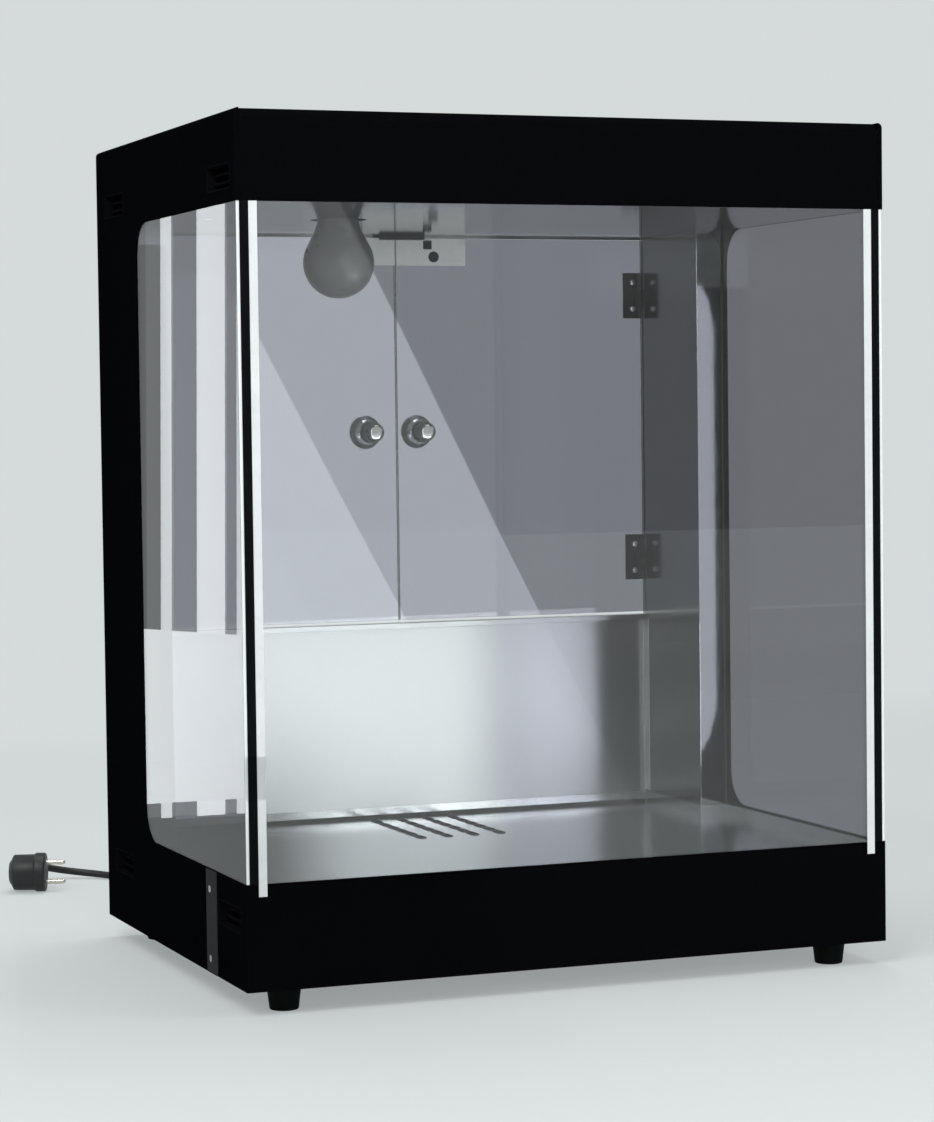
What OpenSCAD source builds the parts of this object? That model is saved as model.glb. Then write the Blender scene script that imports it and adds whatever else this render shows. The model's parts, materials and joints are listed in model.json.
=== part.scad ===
// Tabletop chip warmer: a glass cabinet with a black hood, base and side frames,
// two clear doors at the back, a hanging lamp and a fan heater under the floor.
// The front faces -Y, Z points up, and the origin lies on the table, under the
// middle of the rectangle that the cabinet and its door knobs cover.

/* [Cabinet] */
// Width over the side frames
body_w = 558; // [500:2:640]
// Depth from the front panels to the rear face
body_d = 420; // [380:5:500]
// Height without the feet
body_h = 680; // [600:10:760]
// Height of the hood
hood_h = 71; // [70:1:100]
// Height of the base
base_h = 84; // [82:1:110]
// Thickness of the painted sheet
sheet_t = 0.8; // [0.8:0.1:1.4]
// Thickness of the stainless sheet
liner_t = 0.7; // [0.6:0.1:1]
// Radius of the bent top edges of the side frames
edge_r = 4; // [3:0.5:6]
// Radius of the bend between the front of the hood and its top
hood_bend_r = 10; // [5:1:18]

/* [Windows] */
// Width of the rear posts, seen from the side
post_w = 129; // [110:1:150]
// Radius of the rear corners of the side windows
window_r = 30; // [10:1:50]
// Thickness of the side glass
side_glass_t = 3; // [3:0.5:5]
// Thickness of the front glass
front_glass_t = 4; // [4:0.5:6]
// How far the glass runs behind the frames
glass_lap = 8; // [6:0.5:9]
// Width of the glass edge that shows at the front corners
glass_show = 3.5; // [2.5:0.5:5]
// Width of the black corner posts
corner_w = 7; // [5:0.5:9]
// Width of the bright strips on the edges of the front glass
edge_strip_w = 7; // [4:0.5:10]
// How far the bright strips reach below the sill
edge_strip_drop = 10; // [5:0.5:12]

/* [Floor and columns] */
// Width of the rear columns, seen from behind
column_w = 30; // [24:1:36]
// How far the fronts of the columns stand behind the edges of the windows
column_set = 5; // [3:0.5:7]
// Width of the black seals between the columns and the side glass
seal_w = 1.5; // [1:0.1:3]
// Depth of the floor below the sill
floor_drop = 12; // [10:0.5:14]
// Height of the upturned edge of the floor
floor_lip_h = 10; // [5:0.5:11]
// Width of the ledge that the floor and the glass stand on
ledge_w = 12; // [10:0.5:14]
// Height of the steel panel below the doors, above the floor
rear_panel_h = 180.5; // [120:0.5:240]
// Depth of the folded top of that panel
rear_panel_fold = 12; // [8:1:16]

/* [Warm air outlet] */
// Place of the outlet, right of the middle
outlet_x = 4; // [-20:1:20]
// Distance of the outlet from the rear face
outlet_back = 85; // [80:1:120]
// Rows of slots
slot_rows = 4; // [3:1:4]
// Slots in each row
slot_count = 6; // [4:1:6]
// Width of a slot
slot_w = 6; // [4:0.5:8]
// Length of a slot
slot_l = 18; // [12:0.5:19]
// Distance between rows
row_pitch = 25; // [16:0.5:26]
// Distance between the slots of a row
slot_pitch = 22.5; // [20:0.5:24]

/* [Vents and joint strips] */
// Length of a side vent
vent_l = 62; // [40:1:64]
// Height of a side vent
vent_h = 21; // [14:0.5:24]
// Depth of a side vent
vent_depth = 8; // [6:0.5:8]
// Distance of the front vents from the front
vent_front = 14; // [12:1:15]
// Distance of the rear vents from the rear
vent_rear = 27; // [20:1:40]
// Height of the hood vents above the lower edge of the hood
vent_rise = 10; // [9.5:0.5:20]
// Distance of the base vents below the sill
vent_drop = 20; // [19:0.5:30]
// Distance of the joint in the sides of the base from the front
joint_d = 92; // [90:1:110]
// Width of the strips over that joint
strip_w = 27; // [12:1:28]
// Thickness of the strips
strip_t = 1; // [0.6:0.1:1.5]

/* [Doors] */
// Thickness of the doors
door_t = 4; // [4:0.5:6]
// Gap round the doors
door_gap = 1; // [0.8:0.1:1.5]
// Gap below and above the doors
door_end_gap = 2.2; // [1:0.1:4]
// Height of a hinge
hinge_h = 43; // [36:1:60]
// Width of a hinge leaf
hinge_leaf_w = 18; // [16:0.5:22]
// Thickness of a hinge leaf
hinge_leaf_t = 1.2; // [1:0.1:1.6]
// Radius of a hinge knuckle
knuckle_r = 2.5; // [2.2:0.1:3]
// Radius of a hinge pin
hinge_pin_r = 1.25; // [1:0.05:1.5]
// Distance of the hinges' middle from the ends of the door
hinge_inset = 52; // [40:1:90]
// Diameter of a knob
knob_d = 31; // [24:1:36]
// How far a knob stands out behind the door
knob_reach = 18; // [14:1:26]
// Distance of a knob from the edge of its door
knob_inset = 24.5; // [20:0.5:40]
// Height of the knobs above the lower edge of the doors
knob_rise = 174; // [100:1:240]
// Diameter of the caps inside the doors
knob_cap_d = 17.5; // [12:0.5:22]
// Length of those caps
knob_cap_l = 14; // [8:0.5:18]

/* [Door catch] */
// Length of the magnet
magnet_l = 41; // [30:1:60]
// How far the magnet lies right of the middle
magnet_x = 4.5; // [-5:0.5:8]
// Length of the plate on the left door
plate_left_l = 31; // [25:1:60]
// Length of the plate on the right door
plate_right_l = 68; // [50:1:80]
// Height of the plates
plate_h = 25; // [20:1:40]
// Thickness of the plates
plate_t = 2; // [1:0.5:3]

/* [Lamp] */
// Place of the lamp, left of the middle
lamp_x = 125; // [80:1:160]
// Place of the lamp behind the front
lamp_y = 210; // [150:1:260]
// Diameter of the bulb
bulb_d = 60; // [55:1:65]
// How far the bulb hangs below the ceiling
bulb_hang = 66; // [60:1:70]
// Length of the bulb's glass
bulb_glass_l = 81; // [76:1:86]

/* [Heater and fan] */
// Side of the square fan
fan_w = 92; // [80:1:92]
// Thickness of the fan
fan_t = 25; // [20:1:26]
// Width of the heater duct
duct_w = 108; // [100:1:110]
// Length of the heater duct
duct_l = 144; // [138:1:150]
// Height of the duct's lower edge above the base plate
duct_rise = 10; // [8:0.5:12]
// Diameter of the heating rod
rod_d = 8; // [6:0.5:9]
// Number of fan blades
blade_count = 7; // [5:1:9]

/* [Switches] */
// Width of a switch
switch_w = 25; // [22:0.5:28]
// Height of a switch
switch_h = 33; // [32.6:0.1:36]
// Distance from the right side to the first switch
switch_side = 129; // [110:1:159]
// Distance between the switches
switch_pitch = 40; // [32:1:50]
// Tilt of a rocker on each side
rocker_tilt = 7; // [4:0.5:8]

/* [Feet] */
// Height of the feet
foot_h = 20; // [16:1:30]
// Diameter of a foot where it meets the base
foot_d = 28; // [24:1:34]
// Diameter of a foot at the table
foot_end_d = 23; // [18:1:26]
// Distance of the feet from the sides
foot_side = 39; // [30:1:50]
// Distance of the feet from the front and the rear
foot_end = 30; // [24:1:45]

/* [Mains lead] */
// Diameter of the lead
cord_d = 7; // [6:0.1:7.2]
// Turns of the stored coil
coil_turns = 5.5; // [3.5:1:5.5]
// Radius of the coil's outer turn
coil_r = 48; // [46:1:52]
// Air between one turn and the next
coil_air = 0.6; // [0.5:0.1:1]
// Width of the tie round the coil
tie_w = 10; // [6:1:12]
// Thickness of the tie
tie_t = 0.9; // [0.6:0.1:1]
// Length of the strain relief outside the base
relief_l = 40; // [24:1:56]
// Diameter of the plug's face
plug_d = 38; // [36:1:39]

/* [Hidden] */

$fn = 48;
// A little extra so that cuts run past their faces
over = 1;
// Air between pieces that are laid side by side
seam = 0.3;
// Air round a screw or a rod in its hole
hole_gap = 0.1;
// Air between a turning shaft and its bore
running_gap = 0.05;

// Planes of the cabinet
front_y = -(body_d + knob_reach) / 2;
rear_y = front_y + body_d;
side_x = body_w / 2;
base_z = foot_h;
top_z = foot_h + body_h;
sill_z = base_z + base_h;
hood_z = top_z - hood_h;
floor_z = sill_z - floor_drop;
ledge_z = floor_z - liner_t;
pan_z = base_z + sheet_t;
joint_y = front_y + joint_d;
window_y = rear_y - post_w;
sheet_y = rear_y - sheet_t;

// Glass and what holds it
glass_x = side_x - sheet_t;
inner_x = glass_x - side_glass_t;
glass_y = front_y + sheet_t;
inner_y = glass_y + front_glass_t;
glass_top_z = hood_z + glass_lap;
post_x = side_x - glass_show - corner_w;
strip_web = 1;
front_glass_x = post_x - strip_web - 2 * hole_gap;
column_x = side_x - column_w;
column_y = window_y + column_set;
seal_x = inner_x - seal_w;
seal_d = 8;
room_x = inner_x - seam;
room_y = inner_y + seam;

// Doors, hinges and knobs
panel_top_z = floor_z + rear_panel_h;
door_low_z = panel_top_z + door_end_gap;
door_high_z = hood_z - door_end_gap;
door_x = column_x - door_gap;
door_mid = 0.75 * door_gap;
door_y = rear_y - door_t;
hinge_x = column_x - door_gap / 2;
hinge_y = rear_y + knuckle_r;
hinge_zs = [door_low_z + hinge_inset, door_high_z - hinge_inset];
knuckle_gap = 0.3;
knuckle_h = hinge_h / 3;
screw_r = 1.5;
screw_head_r = 2.8;
screw_head_t = 1.2;
screw_spread = 25;
hinge_screw_x = 10;
knob_x = door_mid + knob_inset;
knob_z = door_low_z + knob_rise;
knob_neck_r = 9;
knob_round = 4;
stud_r = 2.4;

// Door catch
magnet_d = 10;
magnet_h = 4;
plate_y = door_y - plate_t;
plate_z = door_high_z - plate_h;
pad_t = 1.5;
pad_w = 8;
pad_x = 31;
buffer_x = 37;
buffer_r = 5;

// Lamp
lamp_place = [-lamp_x, front_y + lamp_y];
bulb_low_z = hood_z - bulb_hang;
bulb_neck_r = 16;
bulb_cap_r = 13;
bulb_cap_l = 27;
cap_low_z = bulb_low_z + bulb_glass_l;
holder_r = 19;
holder_low_z = cap_low_z + 3;
holder_high_z = top_z - 10;
lamp_hole_r = 24;
bracket_w = 30;
bracket_x = lamp_hole_r + 8;

// Warm air outlet, duct and fan
outlet_y = rear_y - outlet_back;
duct_low_z = pan_z + duct_rise;
fan_top_z = duct_low_z + fan_t;
fan_bore_r = fan_w / 2 - 2;
hub_r = 20;
shaft_r = 2;
rod_z = (fan_top_z + ledge_z) / 2;
rod_pitch = (duct_w - 36) / 3;
rod_l = duct_l - 40;
rod_tail = 12;

// Leads inside the cabinet
lead_r = 3;
riser_x = column_x + column_w / 2 - 2;
block_size = [60, 22, 16];
block_gap = 14;
block_place = [block_size[0] / 2 + block_gap + lead_r - riser_x, rear_y - 60, pan_z];
hood_lead_z = hood_z + 43;

// Switches
bezel_t = 2;
switch_x = side_x - switch_side;
switch_z = base_z + 38;
switch_cut = [switch_w - 3, switch_h - 3];
switch_body_t = 1.2;
switch_body_d = 18;
pivot_r = 1.5;
pivot_y = rear_y - 1;
rocker_w = switch_cut[0] - 2 * switch_body_t - 1.2;
rocker_h = switch_cut[1] - 2 * switch_body_t - 2.2;

// Feet
foot_x = side_x - foot_side;
foot_ys = [front_y + foot_end, rear_y - foot_end];
foot_screw_r = 2.5;
foot_head_r = 5;
foot_sink = 8;
foot_head_t = 3;

// Strain relief and lead: the lead leaves the base at the back, lies down, winds into
// a tied coil behind the base and ends in a plug beside it. Each route lists steps to
// the right and to the back from its start, with heights above the table.
relief_at = [block_place[0] + block_size[0] / 4, rear_y, 52];
relief_r = 7;
relief_end_r = 4.5;
coil_low_z = 4.7;
coil_step = cord_d + coil_air;
coil_high_z = coil_low_z + coil_step;
coil_rings = 24;
tie_air = 1.2;
tie_round = 2;
out_steps = [
    [0, 0, 52], [0, 9, 52], [0, 20, 50.5], [2, 34, 45], [7, 47, 37], [16, 58, 27],
    [29, 65, 18], [44, 66, 11], [60, 62, 7], [76, 57, 5], [92, 51, 4], [109, 47, 4],
    [126, 44, 4.5], [143, 43, coil_low_z], [152, 43, coil_low_z], [160, 43, coil_low_z]
];
lead_steps = [
    [0, 0, coil_high_z], [-7, 0, coil_high_z], [-20, 0.5, 11.5], [-34, 2, 9.5], [-50, 6, 6.5],
    [-65, 13, 4], [-79, 23, 3.5], [-90, 35, 3.5], [-100, 48, 3.5], [-108, 63, 3.5],
    [-115, 79, 3.5], [-121, 95, 3.5], [-127, 110, 3.5], [-134, 126, 3.5], [-142, 141, 3.5],
    [-152, 154, 4], [-164, 165, 5], [-178, 173, 6.5], [-194, 177, 9], [-210, 176, 12.5],
    [-223, 171, 16], [-232, 163.5, 18.5], [-237, 155.8, 19]
];
out_route = route(out_steps, [relief_at[0], relief_at[1] + relief_l]);
coil_at = last_place(out_route) + [0, coil_r];
lead_start = coil_at + [0, coil_r];

// Places of a route's steps from its start, none lower than the lead lies on the table
function route(steps, start) =
    [for (p = steps) [start[0] + p[0], start[1] + p[1], max(p[2], cord_d / 2)]];
function last_place(points) = let (p = points[len(points) - 1]) [p[0], p[1]];

// The plug lies on the rim of its face, its pins to the right and a little to the front
plug_turn = -20;
plug_at = concat(lead_start + [-240, 111], plug_d / 2);
plug_face_t = 12;
plug_back_d = 26;
plug_back_l = 24;
boot_l = 24;
boot_r = 7;
boot_end_r = 4.8;
pin_r = 2.4;
pin_l = 19;
pin_spread = 19;
boot_from = [-plug_back_l / 2, plug_back_d / 2 - 3, 0];
boot_end = plug_at + turned(boot_from + [0, boot_l, 0], plug_turn);
lead_route = concat(route(lead_steps, lead_start), [boot_end]);

function turned(p, a) = [p[0] * cos(a) - p[1] * sin(a), p[0] * sin(a) + p[1] * cos(a), p[2]];

module left() mirror([1, 0, 0]) children();

// Lays a flat shape in the plane of width and height, and stretches it back to front
module along_y(y, length) translate([0, y + length, 0]) rotate([90, 0, 0])
    linear_extrude(length) children();

// Lays a flat shape in the plane of depth and height, and stretches it to the right
module along_x(x, length) translate([x, 0, 0]) rotate([90, 0, 90])
    linear_extrude(length) children();

module box(low, high) translate(low) cube(high - low);

// A rod from the front to the back
module rod_y(at, r, length) translate(at) rotate([-90, 0, 0]) cylinder(r = r, h = length);

// A rectangle with its upper right corner rounded
module round_corner(w, h, r) {
    square([w - r, h]);
    square([w, h - r]);
    translate([w - r, h - r]) circle(r);
}

// A rectangle with both right corners rounded
module round_end(w, h, r) {
    square([w - r, h]);
    translate([0, r]) square([w, h - 2 * r]);
    for (z = [r, h - r]) translate([w - r, z]) circle(r);
}

// A rectangle with all corners rounded, its middle at the origin
module round_rect(w, h, r) {
    square([w - 2 * r, h], center = true);
    square([w, h - 2 * r], center = true);
    for (x = [-1, 1], z = [-1, 1]) translate([x * (w / 2 - r), z * (h / 2 - r)]) circle(r);
}

// Fronts and heights of the vents in one side, as [y, z] of their lower front corner
vent_places = [
    [front_y + vent_front, hood_z + vent_rise],
    [rear_y - vent_rear - vent_l, hood_z + vent_rise],
    [front_y + vent_front, sill_z - vent_drop - vent_h],
    [rear_y - vent_rear - vent_l, sill_z - vent_drop - vent_h]
];

module vent_holes(depth) {
    for (v = vent_places)
        box([side_x - depth, v[0], v[1]], [side_x + over, v[0] + vent_l, v[1] + vent_h]);
}

module base_pan() {
    out_x = glass_x;
    wall = sheet_t;
    color("dimgray") difference() {
        box([-out_x, glass_y, base_z], [out_x, sheet_y, ledge_z]);
        box([-out_x + wall, glass_y + wall, pan_z], [out_x - wall, rear_y, ledge_z - liner_t]);
        box([-out_x + ledge_w, glass_y + ledge_w, pan_z], [out_x - ledge_w, rear_y, ledge_z + over]);
        for (s = [0, 1]) mirror([s, 0, 0]) {
            vent_holes(sheet_t + 2 * wall);
            strip_holes(glass_x - wall - over, glass_x + over);
            for (y = foot_ys) translate([foot_x, y, base_z - over])
                cylinder(r = foot_screw_r + hole_gap, h = sheet_t + 2 * over);
        }
    }
}

module base_front() {
    base_l = joint_y - glass_y;
    notch = [post_x - edge_strip_w - hole_gap, post_x + hole_gap];
    color([0.04, 0.04, 0.05]) difference() {
        translate([0, 0, base_z]) linear_extrude(base_h) difference() {
            wrap(side_x, front_y, edge_r / 2);
            translate([-glass_x, glass_y]) square([2 * glass_x, base_l + over]);
        }
        for (s = [0, 1]) mirror([s, 0, 0]) {
            vent_holes(vent_depth);
            box([notch[0], front_y - over, sill_z - edge_strip_drop - hole_gap],
                [notch[1], glass_y + over, sill_z + over]);
        }
    }
}

// The outline of the base from its front back to the joint, with rounded front corners
module wrap(x, y, r) {
    translate([-x, y + r]) square([2 * x, joint_y - y - r]);
    translate([r - x, y]) square([2 * (x - r), 2 * r]);
    for (s = [-1, 1]) translate([s * (x - r), y + r]) circle(r);
}

module base_rear_panel() {
    top = sill_z - liner_t;
    color([0.04, 0.04, 0.05]) difference() {
        union() {
            box([-column_x + seam, sheet_y, base_z], [column_x - seam, rear_y, top]);
            box([-column_x + seam, sheet_y - ledge_w, pan_z], [column_x - seam, sheet_y, pan_z + sheet_t]);
            tabs(base_tab);
        }
        for (i = [0, 1]) switch_place(i) along_y(-switch_body_d, 2 * switch_body_d)
            square([switch_cut[0] + 2 * hole_gap, switch_cut[1] + 2 * hole_gap], center = true);
        rod_y(relief_at - [0, 3 * sheet_t, 0], relief_r - 1 + hole_gap, 4 * sheet_t);
        frame_screw_holes();
    }
}

module switch_place(i) translate([switch_x + i * switch_pitch, rear_y, switch_z]) children();

// Screws that hold the rear panels to the flanges of the side frames, as [x, z]
tab_x = column_x + 13;
base_tab = [pan_z + 2 * sheet_t, ledge_z - 3];
rail_tab = [hood_z + 4, top_z - 4];
frame_screw_places = [for (z = concat(base_tab, rail_tab)) [column_x + 6.5,
    z + (z == base_tab[0] || z == rail_tab[0] ? 8 : -8)]];

// Tabs at both ends of a rear panel, behind the flanges of the side frames
module tabs(span) {
    for (s = [0, 1]) mirror([s, 0, 0])
        box([column_x - ledge_w, sheet_y - sheet_t, span[0]], [tab_x, sheet_y, span[1]]);
}

strip_screw_zs = [base_z + 12, sill_z - 16];
strip_screw_y = joint_y + 4;
flush_head_t = 0.5;

module joint_strips() {
    color([0.3, 0.3, 0.31]) for (s = [0, 1]) mirror([s, 0, 0]) difference() {
        along_x(side_x, strip_t) translate([joint_y, (base_z + sill_z) / 2])
            round_rect(strip_w, base_h - 1, 1);
        strip_holes(side_x - over, side_x + strip_t + over);
        translate([strip_t - flush_head_t - hole_gap, 0, 0])
            strip_holes(side_x, side_x + over, screw_head_r + hole_gap);
    }
}

// Holes for the screws of the strips, between two planes
module strip_holes(from_x, to_x, r = screw_r + hole_gap) {
    for (z = strip_screw_zs) translate([from_x, strip_screw_y, z]) rotate([0, 90, 0])
        cylinder(r = r, h = to_x - from_x);
}

module side_frame() {
    color([0.04, 0.04, 0.05]) difference() {
        union() {
            translate([0, 0, base_z]) along_y(front_y, body_d) difference() {
                round_corner(side_x, body_h, edge_r);
                translate([-over, -over])
                    round_corner(glass_x + over, body_h - sheet_t + over, edge_r - sheet_t);
                square([side_x - edge_r, body_h + over]);
            }
            translate([0, 0, base_z]) along_y(front_y, sheet_t) intersection() {
                round_corner(side_x, body_h, edge_r);
                translate([side_x - edge_r, 0]) square([edge_r, body_h]);
            }
            translate([0, 0, base_z]) along_y(sheet_y, sheet_t) intersection() {
                round_corner(side_x, body_h, edge_r);
                translate([column_x, 0]) square([column_w, body_h]);
            }
        }
        along_x(column_x, column_w + over) translate([front_y - over, sill_z])
            round_end(window_y - front_y + over, hood_z - sill_z, window_r);
        box([column_x, front_y - over, base_z - over],
            [side_x + over, joint_y + hole_gap, sill_z + hole_gap]);
        vent_holes(vent_depth);
        strip_holes(glass_x - over, side_x + over);
        for (p = fixed_screw_places) rod_y([p[0], sheet_y - over, p[1]], screw_r + hole_gap, 3 * over);
        frame_screw_holes();
    }
}

module frame_screw_holes() {
    for (s = [0, 1], p = frame_screw_places) mirror([s, 0, 0])
        rod_y([p[0], sheet_y - sheet_t - over, p[1]], screw_r + hole_gap, 4 * over);
}

fixed_screw_places = [for (z = hinge_zs, s = [-1, 1]) [hinge_x + hinge_screw_x, z + s * screw_spread / 2]];
door_screw_places = [for (z = hinge_zs, s = [-1, 1]) [hinge_x - hinge_screw_x, z + s * screw_spread / 2]];

// A deep frame with two slats across its inner end
module vent_grille() {
    wall = 1.4;
    slat = 2.4;
    l = vent_l - 2 * hole_gap;
    h = vent_h - 2 * hole_gap;
    difference() {
        cube([vent_depth, l, h]);
        translate([-over, wall, wall]) cube([vent_depth + 2 * over, l - 2 * wall, h - 2 * wall]);
    }
    for (i = [1, 2]) translate([0, wall / 2, i * h / 3 - slat / 2]) cube([2, l - wall, slat]);
}

module vent_grilles() {
    color([0.08, 0.08, 0.09]) for (s = [0, 1]) mirror([s, 0, 0])
        for (v = vent_places)
            translate([side_x - vent_depth, v[0] + hole_gap, v[1] + hole_gap]) vent_grille();
}

module column() {
    color("silver") {
        box([column_x, column_y, ledge_z], [column_x + liner_t, sheet_y, hood_z]);
        box([column_x, column_y, ledge_z], [seal_x - hole_gap, column_y + liner_t, hood_z]);
    }
}

module glass_seals() {
    color([0.02, 0.02, 0.02]) for (s = [0, 1]) mirror([s, 0, 0])
        box([seal_x, column_y, ledge_z], [inner_x, column_y + seal_d, hood_z]);
}

module side_glass() {
    color([0.8, 0.9, 0.9, 0.3])
        box([inner_x, glass_y, ledge_z], [glass_x, window_y + glass_lap, glass_top_z]);
}

module corner_posts() {
    color([0.03, 0.03, 0.03]) for (s = [0, 1]) mirror([s, 0, 0]) {
        box([post_x, front_y, sill_z], [post_x + corner_w, glass_y, hood_z]);
        box([post_x, glass_y, ledge_z], [inner_x, inner_y, glass_top_z]);
    }
}

module front_glass() {
    color([0.8, 0.9, 0.9, 0.3])
        box([-front_glass_x, glass_y, ledge_z], [front_glass_x, inner_y, glass_top_z]);
}

module edge_strips() {
    low = sill_z - edge_strip_drop;
    color("white") for (s = [0, 1]) mirror([s, 0, 0]) {
        box([post_x - edge_strip_w, front_y, low], [post_x - hole_gap, glass_y, hood_z]);
        box([post_x - hole_gap - strip_web, glass_y - hole_gap, low], [post_x - hole_gap, inner_y, hood_z]);
    }
}

// The outline of the floor, drawn in by an inset, narrow between the columns
module floor_outline(inset) {
    x = room_x - inset;
    back_x = column_x - seam - inset;
    translate([-x, room_y + inset]) square([2 * x, column_y - seam - room_y - 2 * inset]);
    translate([-back_x, room_y + inset])
        square([2 * back_x, sheet_y - liner_t - seam - room_y - 2 * inset]);
}

module floor_tray() {
    color("silver") difference() {
        translate([0, 0, ledge_z]) linear_extrude(liner_t + floor_lip_h) floor_outline(0);
        translate([0, 0, floor_z]) linear_extrude(floor_lip_h + over) floor_outline(liner_t);
        slots(ledge_z - over, liner_t + 2 * over);
    }
}

// Rows of slots with round ends
module slots(z, h) {
    for (i = [0:slot_rows - 1], j = [0:slot_count - 1])
        translate([
            outlet_x + (i - (slot_rows - 1) / 2) * row_pitch,
            outlet_y + (j - (slot_count - 1) / 2) * slot_pitch,
            z
        ]) linear_extrude(h) {
            square([slot_w, slot_l - slot_w], center = true);
            for (s = [-1, 1]) translate([0, s * (slot_l - slot_w) / 2]) circle(slot_w / 2);
        }
}

module lower_rear_panel() {
    x = column_x - hole_gap;
    y = sheet_y - liner_t;
    color("silver") {
        box([-x, y, floor_z + seam], [x, sheet_y, panel_top_z]);
        box([-x, sheet_y - rear_panel_fold, panel_top_z - liner_t], [x, sheet_y, panel_top_z]);
        box([-x, sheet_y - rear_panel_fold, panel_top_z - 5],
            [x, sheet_y - rear_panel_fold + liner_t, panel_top_z]);
        for (s = [0, 1]) mirror([s, 0, 0]) box([x - liner_t, sheet_y - rear_panel_fold, sill_z],
            [x, sheet_y, panel_top_z]);
    }
}

module hood_shell() {
    x = side_x - edge_r - hole_gap;
    color([0.04, 0.04, 0.05]) along_x(-x, 2 * x) translate([sheet_y, hood_z]) mirror([1, 0]) difference() {
        round_corner(sheet_y - front_y, hood_h, hood_bend_r);
        translate([-over, -over])
            round_corner(sheet_y - glass_y + over, hood_h - sheet_t + over, hood_bend_r - sheet_t);
    }
}

// The ceiling, its sides folded up and its rear edge folded down to just above the doors
module ceiling_panel() {
    back = sheet_y - seam;
    lip_x = column_x - seam;
    fold_h = vent_rise - 2;
    color("silver") difference() {
        union() {
            box([-room_x, room_y, hood_z], [room_x, back, hood_z + liner_t]);
            box([-lip_x, back - liner_t, door_high_z + seam], [lip_x, back, hood_z]);
            for (s = [0, 1]) mirror([s, 0, 0])
                box([room_x - liner_t, room_y, hood_z], [room_x, back, hood_z + fold_h]);
        }
        translate([lamp_place[0], lamp_place[1], hood_z - over])
            cylinder(r = lamp_hole_r, h = liner_t + 2 * over);
        translate([-riser_x, block_place[1], hood_z - over])
            cylinder(r = lead_r + 1, h = liner_t + 2 * over);
    }
}

module rear_top_rail() {
    x = column_x - seam;
    foot_z = hood_z + liner_t;
    color([0.04, 0.04, 0.05]) difference() {
        union() {
            box([-x, sheet_y, hood_z], [x, rear_y, top_z]);
            box([-x, sheet_y - ledge_w, foot_z], [x, sheet_y, foot_z + sheet_t]);
            box([-x, sheet_y - ledge_w, top_z - 2 * sheet_t], [x, sheet_y, top_z - sheet_t]);
            tabs(rail_tab);
        }
        frame_screw_holes();
    }
}

// A screw along Y with its head towards the back, the underside of the head at its place
module screw_y(at, length) {
    rod_y(at, screw_head_r, screw_head_t);
    rod_y(at - [0, length, 0], screw_r, length + hole_gap);
}

module panel_screws() {
    color("gray") {
        for (s = [0, 1], p = frame_screw_places) mirror([s, 0, 0]) screw_y([p[0], rear_y, p[1]], 6);
        for (s = [0, 1], z = strip_screw_zs) mirror([s, 0, 0])
            translate([side_x + strip_t, strip_screw_y, z]) rotate([0, -90, 0]) {
                cylinder(r = screw_head_r, h = flush_head_t);
                cylinder(r = screw_r, h = 6);
            }
    }
}

module door() {
    color([0.75, 0.8, 0.82, 0.4]) difference() {
        box([door_mid, door_y, door_low_z], [door_x, rear_y, door_high_z]);
        rod_y([knob_x, door_y - over, knob_z], stud_r + hole_gap, door_t + 2 * over);
        for (p = door_screw_places) rod_y([p[0], door_y - over, p[1]], screw_r + hole_gap, door_t + 2 * over);
    }
}

// One leaf of a butt hinge at the origin of its pin, reaching to the right, with its
// knuckles between the heights of each pair
module hinge_leaf(knuckles, bore_r) {
    start = knuckle_r + knuckle_gap;
    difference() {
        union() {
            box([start, -knuckle_r, -hinge_h / 2], [hinge_leaf_w, hinge_leaf_t - knuckle_r, hinge_h / 2]);
            for (k = knuckles) {
                translate([0, 0, k[0]]) cylinder(r = knuckle_r, h = k[1] - k[0]);
                box([0, -knuckle_r, k[0]], [start + over, hinge_leaf_t - knuckle_r, k[1]]);
            }
        }
        translate([0, 0, -hinge_h]) cylinder(r = bore_r, h = 2 * hinge_h);
        for (s = [-1, 1]) rod_y([hinge_screw_x, -knuckle_r - over, s * screw_spread / 2],
            screw_r + hole_gap, hinge_leaf_t + 2 * over);
    }
}

module hinge_leaves_fixed() {
    low = -hinge_h / 2;
    ends = [[low, low + knuckle_h], [-low - knuckle_h, -low]];
    color("gray") for (s = [0, 1], z = hinge_zs) mirror([s, 0, 0]) translate([hinge_x, hinge_y, z])
        hinge_leaf(ends, hinge_pin_r + running_gap / 2);
}

module hinge_leaves() {
    half = knuckle_h / 2 - knuckle_gap;
    color("gray") for (z = hinge_zs) translate([hinge_x, hinge_y, z]) mirror([1, 0, 0])
        hinge_leaf([[-half, half]], hinge_pin_r + running_gap);
}

module hinge_pins() {
    color("silver") for (s = [0, 1], z = hinge_zs) mirror([s, 0, 0])
        translate([hinge_x, hinge_y, z - hinge_h / 2]) cylinder(r = hinge_pin_r, h = hinge_h);
}

module hinge_screws_fixed() {
    color("silver") for (s = [0, 1], p = fixed_screw_places) mirror([s, 0, 0])
        screw_y([p[0], rear_y + hinge_leaf_t, p[1]], 9);
}

// Screws through a door, each with a round nut on the inside
module hinge_screws() {
    nut_t = 2.4;
    color("silver") for (p = door_screw_places) {
        screw_y([p[0], rear_y + hinge_leaf_t, p[1]], hinge_leaf_t + door_t + nut_t / 2);
        rod_y([p[0], door_y - nut_t, p[1]], screw_head_r, nut_t);
    }
}

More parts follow.
